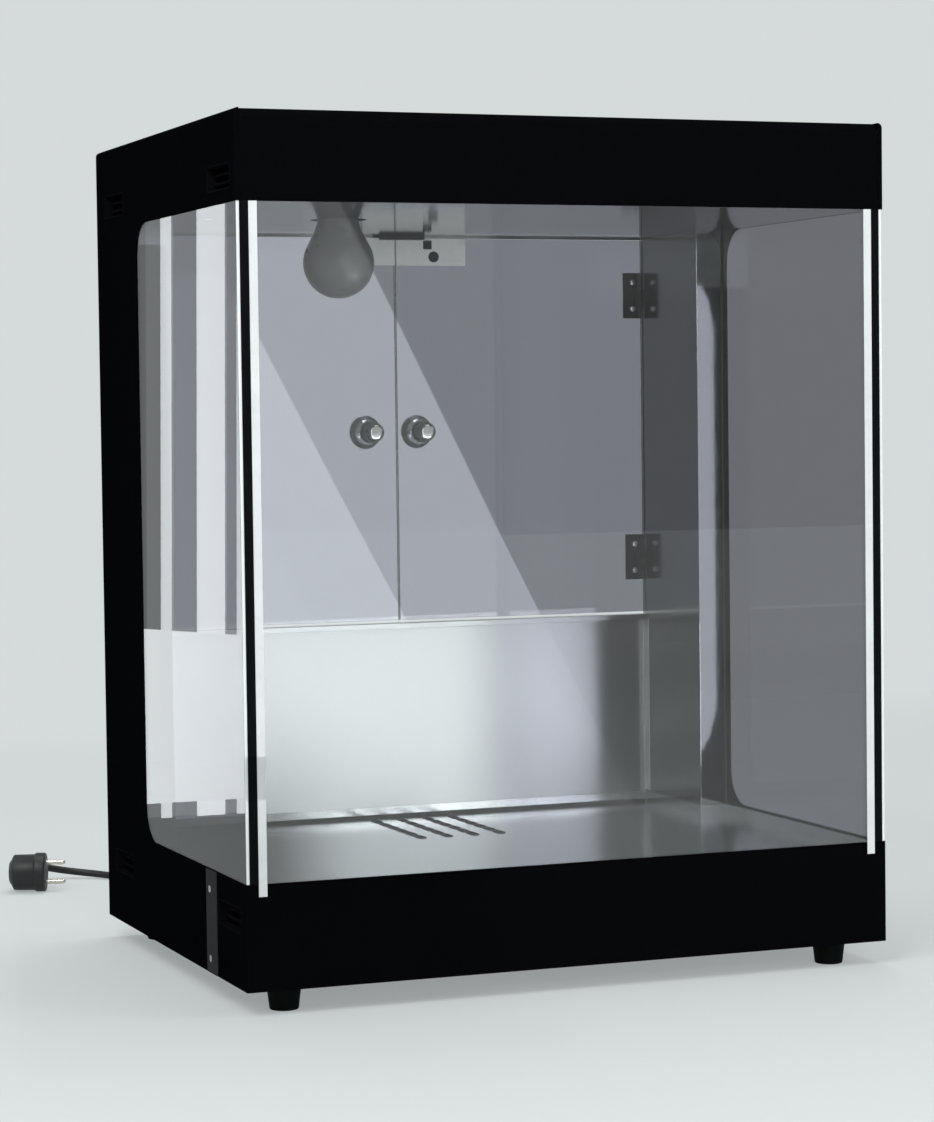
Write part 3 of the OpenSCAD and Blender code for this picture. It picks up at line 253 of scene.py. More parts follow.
def make_materials(finish):
    steel, rubber = tuple(finish.steel), tuple(finish.rubber)
    upright_lines = (60, 60, 1)
    return {
        "black_paint": painted("black_powder_paint", tuple(finish.paint)),
        "vent_black": painted("vent_moulding", (0.005, 0.005, 0.006), 0.6),
        "post_black": painted("black_frame_paint", (0.006, 0.006, 0.007), 0.5),
        # Galvanised steel made near black: painted shade for the dark inside of the heater duct
        # below the floor slots.
        "galvanised": brushed("galvanised_sheet", (0.02, 0.02, 0.021), (1, 3, 3), 0.38, 0.5),
        "stainless": brushed(
            "brushed_stainless", shade(steel, 0.84), (3, 160, 3), 0.16, 0.24, 0.0004
        ),
        # Stainless at a third of its brightness: painted shade on the columns' faces other than the
        # front.
        "stainless_painted_shade_upright": brushed(
            "stainless_brushed_upright", shade(steel, 0.34), upright_lines, 0.12, 0.2
        ),
        "stainless_panel": brushed(
            "stainless_panel", shade(steel, 0.8), upright_lines, 0.28, 0.34, 0.0008, 0.9
        ),
        "stainless_polished": brushed(
            "stainless_polished", steel, (9, 9, 1), 0.02, 0.05, 0.0005
        ),
        # Stainless at half its brightness: painted shade on the ceiling under the hood.
        "stainless_ceiling": brushed("stainless_ceiling", shade(steel, 0.5), (1, 60, 60), 0.07,
                                     0.15),
        # Near black on the door panes' side edges: painted shade for the dark edge of the glass.
        "door_edge": moulded("door_edge", (0.03, 0.03, 0.033), 0.3),
        "bright_edge": moulded("bright_edge_strip", tuple(finish.edge), 0.3, 400, 0.01),
        # Dark paint: the joint strips' own colour, and on the floor slot lips painted shade round
        # the slots.
        "strip_paint_and_slot_shade": painted("joint_strip_metal", (0.04, 0.04, 0.042), 0.6),
        "clear_glass": clear("front_glass", tuple(finish.glass)),
        # The side panes and doors are tinted dark: painted shade on what lies behind them.
        "side_pane_painted_shade": clear("side_glass", tuple(finish.side_glass), 1.2),
        "clear_door": clear("door_pane", tuple(finish.door)),
        "ground_edge": moulded("ground_glass_edge", (0.80, 0.84, 0.84), 0.5, 900, 0.02),
        "seal_rubber": moulded("black_seal", rubber, 0.6),
        "hinge_metal": brushed("hinge_steel", (0.16, 0.16, 0.17), (60, 60, 2), 0.28, 0.4),
        "screw_metal": brushed("plated_screws", (0.50, 0.50, 0.51), (8, 8, 8), 0.24, 0.36),
        "knob_metal": brushed("polished_knob", (0.8, 0.8, 0.8), (6, 6, 6), 0.05, 0.10, 0.001),
        # Near black for the slanted faces of the knobs and caps: a painted dark reflection.
        "knob_painted_reflection": moulded("polished_knob_flank", (0.002, 0.002, 0.002), 0.25),
        "catch_black": moulded("black_plastic", (0.012, 0.012, 0.013), 0.42),
        "plate_white": painted("white_plate", (0.92, 0.93, 0.93), 0.35, 0.5),
        "pad_rubber": moulded("black_pad", rubber, 0.6),
        "bracket_metal": brushed("bracket_steel", (0.5, 0.5, 0.51), (1, 6, 6), 0.3, 0.44),
        "holder_white": moulded("glazed_ceramic", (0.80, 0.78, 0.73), 0.2, 60, 0.02),
        "bulb_frost": frosted("frosted_bulb", tuple(finish.bulb)),
        "cap_metal": brushed("bulb_cap_metal", (0.70, 0.70, 0.69), (3, 3, 30), 0.2, 0.32),
        "rod_metal": brushed("heated_rod", (0.03, 0.028, 0.027), (9, 9, 9), 0.42, 0.6),
        "fan_black": moulded("fan_plastic", (0.014, 0.014, 0.015), 0.5),
        "block_white": moulded("terminal_plastic", (0.70, 0.68, 0.62), 0.4),
        "lead_black": moulded("lead_rubber", rubber, 0.5, 900, 0.02),
        "switch_black": moulded("switch_plastic", (0.010, 0.010, 0.011), 0.25, 500, 0.01),
        "rocker_white": moulded("white_rocker", (0.78, 0.78, 0.76), 0.25, 500, 0.01),
        "rocker_red": moulded("red_rocker", (0.45, 0.018, 0.012), 0.25, 500, 0.01),
        "foot_rubber": moulded("foot_rubber", shade(rubber, 0.3), 0.62, 500, 0.05, 0.05),
        "tie_plastic": moulded("tie_nylon", (0.02, 0.02, 0.021), 0.5),
        "plug_plastic": moulded("plug_moulding", (0.011, 0.011, 0.012), 0.48, 500, 0.03),
        "pin_metal": brushed("plug_pins", (0.62, 0.60, 0.54), (3, 3, 3), 0.2, 0.32),
    }


MATERIALS = {}


# Meshes


def piece(name, mesh, body, slot, material=None):
    """Puts a finished mesh in the scene as a piece of the warmer."""
    obj = bpy.data.objects.new(name, mesh)
    bpy.context.scene.collection.objects.link(obj)
    mesh.materials.clear()
    mesh.materials.append(MATERIALS[material or slot])
    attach(obj, body)
    return obj


def stand_in(name, mesh, node, material=None):
    """Puts a mesh in the place of a CAD node, on its body, with its slot's material unless another
    is given.
    """
    obj = piece(name, mesh, BODY_OF[node], SLOT_OF[node], material)
    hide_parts(node)
    return obj


def mesh_from(bm, name, sharp=30):
    """Ends a bmesh: normals out, smooth faces, sharp edges where it turns."""
    bmesh.ops.recalc_face_normals(bm, faces=bm.faces)
    for face in bm.faces:
        face.smooth = True
    for edge in bm.edges:
        edge.smooth = edge.calc_face_angle(0) < radians(sharp)
    mesh = bpy.data.meshes.new(name)
    bm.to_mesh(mesh)
    bm.free()
    return mesh


def dress(node, material=None, round_by=0.0, segments=2):
    """A merged copy of a CAD node with rounded edges and smooth curves, in its place."""
    bm = bmesh.new()
    bm.from_mesh(frame["nodes"][node].data)
    bmesh.ops.remove_doubles(bm, verts=bm.verts, dist=1e-6)
    bmesh.ops.dissolve_limit(bm, angle_limit=radians(0.5), verts=bm.verts, edges=bm.edges)
    obj = stand_in(node + "_finish", mesh_from(bm, node + "_mesh"), node, material)
    if round_by:
        bevel = obj.modifiers.new("rounded edges", "BEVEL")
        bevel.width = round_by
        bevel.segments = segments
        bevel.limit_method = "ANGLE"
        bevel.angle_limit = radians(35)
        bevel.harden_normals = True
    return obj


def repaint(obj, material, test):
    """Gives the faces whose normal passes a test a second material, which on the doors and knobs is
    painted shade and painted reflection.
    """
    obj.data.materials.append(MATERIALS[material])
    for face in obj.data.polygons:
        if test(face.normal):
            face.material_index = 1


def turned(name, profile, at, axis, segments=64, sharp=32):
    """A mesh turned about an axis from (radius, height) pairs in millimetres."""
    bm = bmesh.new()
    turn = Vector(axis).normalized().to_track_quat("Z", "Y").to_matrix()
    start = Vector(at)
    rings = []
    for radius, height in profile:
        count = 1 if radius < 1e-6 else segments
        rings.append([
            bm.verts.new(start + turn @ Vector((
                radius * cos(2 * pi * k / segments) * MM,
                radius * sin(2 * pi * k / segments) * MM,
                height * MM,
            )))
            for k in range(count)
        ])
    for low, high in zip(rings, rings[1:]):
        for k in range(segments):
            corners = [low[k % len(low)], low[(k + 1) % len(low)],
                       high[(k + 1) % len(high)], high[k % len(high)]]
            unique = list(dict.fromkeys(corners))
            if len(unique) > 2:
                bm.faces.new(unique)
    return mesh_from(bm, name + "_mesh", sharp)


def arc(cx, cy, r, start, end, steps=8):
    """Points of an arc, as (radius, height) pairs, for a turned profile."""
    return [
        (cx + r * cos(radians(start + (end - start) * i / steps)),
         cy + r * sin(radians(start + (end - start) * i / steps)))
        for i in range(steps + 1)
    ]


def joined(name, meshes, sharp=32):
    bm = bmesh.new()
    for mesh in meshes:
        bm.from_mesh(mesh)
    return mesh_from(bm, name, sharp)


def block(bm, low, high):
    """Adds a plain block between two corners in metres."""
    low, high = Vector(low), Vector(high)
    place = Matrix.Translation((low + high) / 2) @ Matrix.Diagonal((*(high - low), 1))
    bmesh.ops.create_cube(bm, size=1, matrix=place)


# Geometry Nodes


SOCKETS = {int: "NodeSocketInt", float: "NodeSocketFloat", tuple: "NodeSocketVector"}


class Grower(Nodes):
    """A Geometry Nodes tree with named inputs, ending in plain geometry with a material."""

    def __init__(self, name, sizes):
        super().__init__(bpy.data.node_groups.new(name, "GeometryNodeTree"))
        face = self.tree.interface
        face.new_socket("Geometry", in_out="INPUT", socket_type="NodeSocketGeometry")
        self.sockets = {}
        for title, value in sizes.items():
            socket = face.new_socket(title, in_out="INPUT", socket_type=SOCKETS[type(value)])
            socket.default_value = value
            self.sockets[title] = socket.identifier
        face.new_socket("Geometry", in_out="OUTPUT", socket_type="NodeSocketGeometry")
        self.start = self.add("NodeGroupInput")
        self.end = self.add("NodeGroupOutput")

    def size(self, title):
        return self.start.outputs[title]

    def rod(self, sides, radius, depth, lift):
        """A round rod, moved up by a share of its length."""
        rod = self.add("GeometryNodeMeshCylinder", {
            "Vertices": sides, "Radius": self.size(radius), "Depth": self.size(depth),
        })
        return self.raised(rod.outputs["Mesh"], self.math("MULTIPLY", self.size(depth), lift))

    def raised(self, geometry, height):
        up = self.add("ShaderNodeCombineXYZ", {"Z": height}).outputs[0]
        place = self.add("GeometryNodeTransform", {"Geometry": geometry, "Translation": up})
        return place.outputs[0]

    def wire(self, path, sides, radius):
        """A round wire along a curve."""
        ring = self.add("GeometryNodeCurvePrimitiveCircle", {
            "Resolution": sides, "Radius": radius,
        })
        sweep = self.add("GeometryNodeCurveToMesh", {
            "Curve": path, "Profile Curve": ring.outputs[0],
        })
        return sweep.outputs[0]

    def repeat(self, points, shape, **more):
        """The shape on each point; more inputs turn or scale it."""
        spots = self.add("GeometryNodeInstanceOnPoints", {
            "Points": points, "Instance": shape, **more,
        })
        return spots.outputs[0]

    def real(self, geometry):
        return self.add("GeometryNodeRealizeInstances", {0: geometry}).outputs[0]

    def finish(self, geometry, material):
        paint = self.add("GeometryNodeSetMaterial", {
            "Geometry": self.real(geometry), "Material": material,
        })
        self.put(paint.outputs[0], self.end.inputs[0])
        return self

    def grow(self, name, points, values, sharp=30):
        """Runs the tree on loose points and returns the plain mesh."""
        seed = bpy.data.meshes.new(name + "_points")
        seed.from_pydata([Vector(p) for p in points], [], [])
        obj = bpy.data.objects.new(name + "_grow", seed)
        bpy.context.scene.collection.objects.link(obj)
        modifier = obj.modifiers.new("grow", "NODES")
        modifier.node_group = self.tree
        for title, value in values.items():
            modifier[self.sockets[title]] = value
        bpy.context.view_layer.update()
        graph = bpy.context.evaluated_depsgraph_get()
        grown = bpy.data.meshes.new_from_object(obj.evaluated_get(graph))
        obj.modifiers.remove(modifier)
        bpy.data.objects.remove(obj)
        bm = bmesh.new()
        bm.from_mesh(grown)
        bmesh.ops.remove_doubles(bm, verts=bm.verts, dist=1e-7)
        if not bm.faces:
            raise RuntimeError(name + " grew nothing")
        return mesh_from(bm, name + "_mesh", sharp)


def screw_tree(material):
    """Pan-head screws with a cross recess, on points, all turned one way."""
    g = Grower("screws", {"Turn": (0.0, 0.0, 0.0), "Head radius": 0.0028, "Head height": 0.0012,
                          "Shank radius": 0.0015, "Shank length": 0.008})
    head = g.rod(32, "Head radius", "Head height", 0.5)
    cut = g.add("GeometryNodeMeshBoolean", {"Mesh 1": head}, operation="DIFFERENCE")
    for long, short in ((1.25, 0.28), (0.28, 1.25)):
        side = g.add("ShaderNodeVectorMath", {
            0: (long, short, 0.5), "Scale": g.size("Head radius"),
        }, operation="SCALE")
        bar = g.add("GeometryNodeMeshCube", {"Size": side.outputs[0]})
        g.put(g.raised(bar.outputs["Mesh"], g.size("Head height")), cut.inputs["Mesh 2"])
    both = g.add("GeometryNodeJoinGeometry", {0: cut.outputs["Mesh"]})
    g.put(g.rod(20, "Shank radius", "Shank length", -0.5), both.inputs[0])
    spots = g.repeat(g.size("Geometry"), both.outputs[0], Rotation=g.size("Turn"))
    return g.finish(spots, material)


def lip_tree(material):
    """A rolled lip round a slot with round ends, on points, lengthwise along Y."""
    g = Grower("slot_lips", {"Slot width": 0.006, "Slot length": 0.018, "Wire": 0.0006})
    wide = g.math("ADD", g.size("Slot width"), g.size("Wire"))
    tall = g.math("ADD", g.size("Slot length"), g.size("Wire"))
    outline = g.add("GeometryNodeCurvePrimitiveQuadrilateral", {"Width": wide, "Height": tall})
    ends = g.add("GeometryNodeFilletCurve", {
        "Curve": outline.outputs[0], "Radius": g.math("MULTIPLY", wide, 0.499), "Count": 8,
    }, mode="POLY")
    lip = g.wire(ends.outputs[0], 8, g.size("Wire"))
    return g.finish(g.repeat(g.size("Geometry"), lip), material)


def ring_tree(material):
    """Rings on a line of points along Y, each a little smaller than the one before."""
    g = Grower("relief_ribs", {"Ribs": 9, "First radius": 0.007, "Last radius": 0.005,
                               "Rib": 0.0008, "First": (0.0, 0.0, 0.0), "Last": (0.0, 0.03, 0.0)})
    line = g.add("GeometryNodeMeshLine", {
        "Count": g.size("Ribs"), "Start Location": g.size("First"), "Offset": g.size("Last"),
    }, mode="END_POINTS")
    ring = g.add("GeometryNodeCurvePrimitiveCircle", {"Resolution": 40, "Radius": 1})
    index = g.add("GeometryNodeInputIndex").outputs[0]
    radius = g.spread(index, g.size("First radius"), g.size("Last radius"), 0,
                      g.math("SUBTRACT", g.size("Ribs"), 1))
    rings = g.repeat(line.outputs[0], ring.outputs[0], Rotation=(pi / 2, 0, 0), Scale=radius)
    return g.finish(g.wire(g.real(rings), 10, g.size("Rib")), material)


# Camera and lead

# Fitted to the pictured corners: place in metres, then turn, dip and tilt in degrees.
CAMERA_AT = (-0.9663, -2.4749, 0.4627)
CAMERA_TURN = (21.16, 2.70, -0.72)
# The lead, in millimetres: OUT_STEPS lead from the strain relief to the coil, and LEAD_STEPS
# from there to the plug.
RELIEF_AT = (-200, 201, 52)
RELIEF_LENGTH = 40
OUT_STEPS = [
    (0, 0, 52), (0, 9, 52), (0, 20, 50.5), (2, 34, 45), (7, 47, 37), (16, 58, 27),
    (29, 65, 18), (44, 66, 11), (60, 62, 7), (76, 57, 5), (92, 51, 4), (109, 47, 4),
    (126, 44, 4.5), (143, 43, 4.7), (152, 43, 4.7),
]
LEAD_STEPS = [
    (-7, 0, 12.3), (-20, 0.5, 11.5), (-34, 2, 9.5), (-50, 6, 6.5),
    (-65, 13, 4), (-79, 23, 3.5), (-90, 35, 3.5), (-100, 48, 3.5), (-108, 63, 3.5),
    (-115, 79, 3.5), (-121, 95, 3.5), (-127, 110, 3.5), (-134, 126, 3.5), (-142, 141, 3.5),
    (-152, 154, 4), (-164, 165, 5), (-178, 173, 6.5), (-194, 177, 9), (-210, 176, 12.5),
    (-223, 171, 16), (-232, 163.5, 18.5), (-237, 155.8, 19),
]
COIL = {"at": (-40, 332), "radius": 48, "turns": 5.5, "step": 7.6, "low": 4.7, "rings": 24}
PLUG_AT = (-280, 491, 19)
PLUG_TURN = -20
# On the plug itself: where the cord enters its boot, its pin face and its pins' distance.
CORD_ENTRY = (-12, 34)
PLUG_FRONT = 12
PIN_SPACING = 19


def coil_points():
    """The lead's line through its coil: inwards below, outwards above."""
    points = []
    count = int(COIL["turns"] * COIL["rings"])
    for i in range(count + 1):
        t = i / COIL["rings"]
        angle = radians(360 * t - 90)
        radius = COIL["radius"] - COIL["step"] * min(t, COIL["turns"] - t)
        rise = min(1, max(0, (t - COIL["turns"] / 2) * 2 + 0.5))
        points.append((
            COIL["at"][0] + radius * cos(angle),
            COIL["at"][1] + radius * sin(angle),
            COIL["low"] + COIL["step"] * rise * rise * (3 - 2 * rise),
        ))
    return points


def plug_matrix():
    return Matrix.Translation(Vector(PLUG_AT) * MM) @ Matrix.Rotation(radians(PLUG_TURN), 4, "Z")


def lead_points():
    """The lead's line from the strain relief to the plug, in metres."""
    start = (RELIEF_AT[0], RELIEF_AT[1] + RELIEF_LENGTH)
    out = [(start[0] + x, start[1] + y, z) for x, y, z in OUT_STEPS]
    coil = coil_points()
    x0, y0 = coil[-1][0], coil[-1][1]
    lead = [(x0 + x, y0 + y, z) for x, y, z in LEAD_STEPS]
    end = plug_matrix() @ (Vector((*CORD_ENTRY, 0)) * MM)
    return [Vector(p) * MM for p in out + coil + lead] + [end]


def plug_parts():
    """The plug's round face and the stepped boot at its side."""
    place = plug_matrix()
    axis, side = (place.to_3x3() @ Vector(way) for way in ((1, 0, 0), (0, 1, 0)))
    face = (
        [(0, PLUG_FRONT)] + arc(17, PLUG_FRONT - 2, 2, 90, 0, 5) 
        + [(19, 2.5), (18.2, 1.6), (17.6, 0)]
        + arc(15, -18, 2.4, 0, -50, 4) + arc(8, -19, 5, -40, -90, 5) + [(0, -24)]
    )
    boot = [(0, 0), (7.0, 0), (6.9, 3)]
    for i in range(6):
        r, low = 6.7 - 0.34 * i, 4 + 3 * i
        boot += [(r, low), (r + 0.45, low + 0.6), (r + 0.45, low + 1.6), (r, low + 2.2)]
    boot += [(4.8, 23.4), (4.4, 24), (0, 24)]
    return [
        turned("plug_face", face, place.translation, axis, 72),
        turned("plug_boot", boot, place @ (Vector((CORD_ENTRY[0], 10, 0)) * MM), side, 40),
    ]


def pin_parts():
    """Two round pins with domed ends."""
    place = plug_matrix()
    axis = place.to_3x3() @ Vector((1, 0, 0))
    r, straight = 2.4, 16.6
    pin = [(0, 0), (r, 0), (r, straight)] + arc(0, straight, r, 0, 90, 6)
    return [
        turned("pin", pin, place @ (Vector((PLUG_FRONT, 0, PIN_SPACING / 2 * s)) * MM), axis, 32)
        for s in (-1, 1)
    ]


def relief_parts(sizes):
    """The strain relief's sleeve and the ribs round it."""
    x, y, z = RELIEF_AT
    gland = [(0, -11), (4, -11), (4, -6.2), (8.2, -6.2), (9, -5.4), (9, -1.3), (6, -1.2),
             (6, 0), (8.4, 0), (9, 0.6), (9, 1.9), (8.4, 2.5), (6.9, 2.6),
             (4.5, RELIEF_LENGTH - 0.6), (4.1, RELIEF_LENGTH), (0, RELIEF_LENGTH)]
    ribs = ring_tree(MATERIALS["lead_black"]).grow("relief_ribs", [(0, 0, 0)], {
        "Ribs": sizes.ribs, "First radius": 0.0066, "Last radius": 0.0047,
        "Rib": sizes.relief_rib, "First": (x * MM, (y + 6) * MM, z * MM),
        "Last": (x * MM, (y + 36) * MM, z * MM),
    })
    return [turned("gland", gland, Vector(RELIEF_AT) * MM, (0, 1, 0), 48), ribs]


class WARMER_OT_camera(bpy.types.Operator):
    """Places the camera where the warmer was pictured from"""

    bl_idname = "warmer.camera"
    bl_label = "Camera"

    def execute(self, context):
        settings = context.scene.warmer_stage
        data = bpy.data.cameras.new("camera")
        data.sensor_fit = "VERTICAL"
        data.sensor_height = 36
        data.lens = settings.lens
        data.clip_start = 0.05
        data.clip_end = 60
        camera = bpy.data.objects.new("camera", data)
        context.scene.collection.objects.link(camera)
        yaw, pitch, roll = (radians(a) for a in CAMERA_TURN)
        ahead = Vector((sin(yaw) * cos(pitch), cos(yaw) * cos(pitch), -sin(pitch)))
        level = Vector((cos(yaw), -sin(yaw), 0))
        above = level.cross(ahead)
        right = level * cos(roll) + above * sin(roll)
        up = above * cos(roll) - level * sin(roll)
        turn = Matrix((right, up, -ahead)).transposed().to_4x4()
        camera.matrix_world = Matrix.Translation(CAMERA_AT) @ turn
        context.scene.camera = camera
        return {"FINISHED"}


class WARMER_OT_mains_lead(bpy.types.Operator):
    """Makes the mains lead with its strain relief, stored coil, tie and plug"""

    bl_idname = "warmer.mains_lead"
    bl_label = "Mains lead"

    def execute(self, context):
        sizes = context.scene.warmer_sizes
        plug = stand_in("plug_moulding", joined("plug_mesh", plug_parts()), "plug_body")
        blades = stand_in("plug_pins_polished", joined("pins_mesh", pin_parts()), "plug_pins")
        parts = relief_parts(sizes)
        sleeve = stand_in("strain_relief_ribbed", joined("relief_mesh", parts, 40), "strain_relief")
        tie = dress("coil_tie", round_by=0.2 * MM)
        line = bpy.data.curves.new("mains_lead", "CURVE")
        line.dimensions = "3D"
        line.bevel_depth = sizes.cord / 2
        line.bevel_resolution = 4
        line.resolution_u = 3
        line.use_fill_caps = True
        points = lead_points()
        spline = line.splines.new("BEZIER")
        spline.bezier_points.add(len(points) - 1)
        for knot, point in zip(spline.bezier_points, points):
            knot.co = point
            knot.handle_left_type = knot.handle_right_type = "AUTO"
        line.materials.append(MATERIALS["lead_black"])
        lead = bpy.data.objects.new("mains_lead", line)
        context.scene.collection.objects.link(lead)
        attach(lead, "cabinet")
        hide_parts("cord_out", "cord_coil", "cord_lead")
        return {"FINISHED"}


# The cabinet: places in millimetres

REAR_Y, SIDE_X, DOOR_Y = 201, 279, 197
SILL_Z, HOOD_Z = 104, 629
OUTLET = (4, 116)
SLOTS, SLOT_PITCH, LIP_Z = (4, 6), (25, 22.5), 92.1
# Corners of a black strip at the foot of the rear panel: painted shade in the crease.
CREASE_SHADE = ((-247.5, 197, 92.05), (247.5, 198.45, 95))
LAMP = (-125, -9)
HINGE_X, HINGE_Y, HINGE_ZS, HINGE_HEIGHT = 248.5, 203.5, (326.7, 574.8), 43
LEAF, LEAF_SCREW_RISE, FIXED_SCREW_X, DOOR_SCREW_X = 1.2, 12.5, 258.5, 238.5
FRAME_SCREW_X, HEAD_REACH = 255.5, 3
STRIP, STRIP_Y, STRIP_SCREW_ZS = 0.5, -123, (32, 88)
KNOB_X, KNOB_Z = 25.25, 448.7
BACKWARDS = (-pi / 2, 0, 0)


class WARMER_OT_housing(bpy.types.Operator):
    """Rounds the folded sheets of the base, side frames and hood"""

    bl_idname = "warmer.housing"
    bl_label = "Housing"

    def execute(self, context):
        rounding = context.scene.warmer_sizes.edge_round
        for node in ("base_front", "base_rear_panel", "side_frame_left", "side_frame_right",
                     "hood_shell", "rear_top_rail", "base_pan"):
            dress(node, round_by=rounding)
        dress("joint_strips", "strip_paint_and_slot_shade", round_by=rounding / 2)
        dress("vent_grilles", "vent_black", round_by=rounding)
        return {"FINISHED"}


class WARMER_OT_glazing(bpy.types.Operator):
    """Makes the panes, posts, bright edge strips, seals and ground front edges"""

    bl_idname = "warmer.glazing"
    bl_label = "Glazing"

    def execute(self, context):
        sizes = context.scene.warmer_sizes
        dress("front_glass", round_by=sizes.glass_round)
        for node in ("side_glass_left", "side_glass_right"):
            dress(node, "side_pane_painted_shade", round_by=sizes.glass_round)
        for node in ("corner_posts", "edge_strips", "glass_seals"):
            dress(node, round_by=sizes.edge_round)
        bm = bmesh.new()
        post_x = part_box("corner_posts")[1][0]
        gap, proud, deep = 0.1 * MM, 0.15 * MM, 0.3 * MM
        for side in ("left", "right"):
            low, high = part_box("side_glass_" + side)
            xs = (low[0] + gap, -post_x - gap) if side == "left" else (post_x + gap, high[0] - gap)
            block(bm, (xs[0], low[1] - proud, SILL_Z * MM), (xs[1], low[1] + deep, HOOD_Z * MM))
        mesh = mesh_from(bm, "ground_mesh")
        ground = piece("ground_edges", mesh, "cabinet", "clear_glass", "ground_edge")
        soft = ground.modifiers.new("arris", "BEVEL")
        soft.width = 0.12 * MM
        soft.segments = 2
        return {"FINISHED"}


class WARMER_OT_chamber(bpy.types.Operator):
    """Dresses the steel columns, floor, ceiling and rear panel of the warm chamber"""

    bl_idname = "warmer.chamber"
    bl_label = "Chamber"

    def execute(self, context):
        sizes = context.scene.warmer_sizes
        for node in ("column_left", "column_right"):
            column = dress(node, "stainless_painted_shade_upright", round_by=sizes.edge_round)
            # Only the front faces get the polished steel; the rest keep the darker copy, painted
            # shade.
            repaint(column, "stainless_polished", lambda normal: normal.y < -0.5)
        dress("lower_rear_panel", "stainless_panel", round_by=sizes.edge_round)
        dress("floor_tray", round_by=sizes.edge_round)
        # A black strip along the foot of the rear panel: painted shade in the crease between floor
        # and panel.
        crease_shade = bmesh.new()
        block(crease_shade, *(Vector(corner) * MM for corner in CREASE_SHADE))
        piece("floor_bead", mesh_from(crease_shade, "floor_bead_mesh"), "cabinet", "seal_rubber")
        # The ceiling takes the half-bright stainless: painted shade.
        dress("ceiling_panel", "stainless_ceiling", round_by=sizes.edge_round)
        across, along = SLOTS
        spots = [
            Vector((OUTLET[0] + (i - (across - 1) / 2) * SLOT_PITCH[0],
                    OUTLET[1] + (j - (along - 1) / 2) * SLOT_PITCH[1], LIP_Z)) * MM
            for i in range(across) for j in range(along)
        ]
        # The lips take the dark strip paint: painted shade round the floor slots.
        lips = lip_tree(MATERIALS["strip_paint_and_slot_shade"]).grow(
            "slot_lips", spots, {"Wire": sizes.lip_wire}
        )
        piece("floor_slot_lips", lips, "cabinet", "stainless", "strip_paint_and_slot_shade")
        return {"FINISHED"}


class WARMER_OT_doors(bpy.types.Operator):
    """Makes the rear doors with their catch plates, pads and magnet"""

    bl_idname = "warmer.doors"
    bl_label = "Doors"

    def execute(self, context):
        sizes = context.scene.warmer_sizes
        for node in ("door_left", "door_right"):
            door = dress(node, round_by=sizes.glass_round)
            # The panes' side edges take near black: painted shade.
            repaint(door, "door_edge", lambda normal: abs(normal.x) > 0.25)
        for node in ("catch_plate_left", "catch_plate_right", "catch_pads", "catch_magnet"):
            dress(node, round_by=0.3 * MM)
        return {"FINISHED"}


class WARMER_OT_hinges(bpy.types.Operator):
    """Makes the hinge leaves and their pins"""

    bl_idname = "warmer.hinges"
    bl_label = "Hinges"

    def execute(self, context):
        for node in ("hinge_leaves_fixed", "hinge_leaves_left", "hinge_leaves_right"):
            dress(node, round_by=0.2 * MM)
        pins = []
        for x in (-HINGE_X, HINGE_X):
            for z in HINGE_ZS:
                low, high = z - HINGE_HEIGHT / 2, z + HINGE_HEIGHT / 2
                outline = ([(0, low)] + arc(0.7, low + 0.5, 0.55, -90, 0, 3)
                           + arc(0.7, high - 0.5, 0.55, 0, 90, 3) + [(0, high)])
                at = (x * MM, HINGE_Y * MM, 0)
                pins.append(turned("hinge_pin", outline, at, (0, 0, 1), 24))
        stand_in("hinge_pins_turned", joined("hinge_pins_mesh", pins), "hinge_pins")
        return {"FINISHED"}


def screw_row(tree, name, at, heights, values):
    """Grows an upright row of screws at a place in x and y."""
    return tree.grow(name, [Vector((*at, z)) * MM for z in heights], values)


def frame_screw_heights():
    """Heights of the screws in the rear frames, read off the CAD screws there."""
    vertices = frame["nodes"]["panel_screws"].data.vertices
    edge = (FRAME_SCREW_X + HEAD_REACH) * MM
    groups = []
    for z in sorted({round(v.co.z / MM, 1) for v in vertices if abs(v.co.x) < edge}):
        if groups and z - groups[-1][-1] < HEAD_REACH:
            groups[-1].append(z)
        else:
            groups.append([z])
    return [(group[0] + group[-1]) / 2 for group in groups]


class WARMER_OT_screws(bpy.types.Operator):
    """Grows cross-recess screws on the hinges, frames and joint strips"""

    bl_idname = "warmer.screws"
    bl_label = "Screws"

    def execute(self, context):
        tree = screw_tree(MATERIALS["screw_metal"])
        leaf_y = REAR_Y + LEAF
        heights = [z + s * LEAF_SCREW_RISE for z in HINGE_ZS for s in (-1, 1)]
        parts = [screw_row(tree, "fixed_screws", (s * FIXED_SCREW_X, leaf_y), heights,
                           {"Turn": BACKWARDS, "Shank length": 0.009}) for s in (-1, 1)]
        node = "hinge_screws_fixed"
        stand_in(node + "_cross", joined(node + "_mesh", parts), node)
        nut = [(0, 0), (1.5, 0), (2.6, 0), (2.8, 0.2)] + arc(1.8, 1.4, 1.0, 0, 90, 5) + [(0, 2.4)]
        for s, side in ((-1, "left"), (1, "right")):
            parts = [screw_row(tree, "door_screws", (s * DOOR_SCREW_X, leaf_y), heights,
                               {"Turn": BACKWARDS, "Shank length": 0.0074})]
            for z in heights:
                at = Vector((s * DOOR_SCREW_X, DOOR_Y, z)) * MM
                parts.append(turned("nut", nut, at, (0, -1, 0), 28))
            node = "hinge_screws_" + side
            stand_in(node + "_cross", joined(node + "_mesh", parts), node)
        parts = []
        for s in (-1, 1):
            at = (s * FRAME_SCREW_X, REAR_Y)
            parts.append(screw_row(tree, "frame_screws", at, frame_screw_heights(),
                                   {"Turn": BACKWARDS, "Shank length": 0.006}))
            at = (s * (SIDE_X + STRIP), STRIP_Y)
            outwards = (0, s * pi / 2, 0)
            parts.append(screw_row(tree, "strip_screws", at, STRIP_SCREW_ZS, {
                "Turn": outwards, "Head height": 0.0005, "Shank length": 0.0055}))
        stand_in("panel_screws_cross", joined("panel_screws_mesh", parts), "panel_screws")
        return {"FINISHED"}




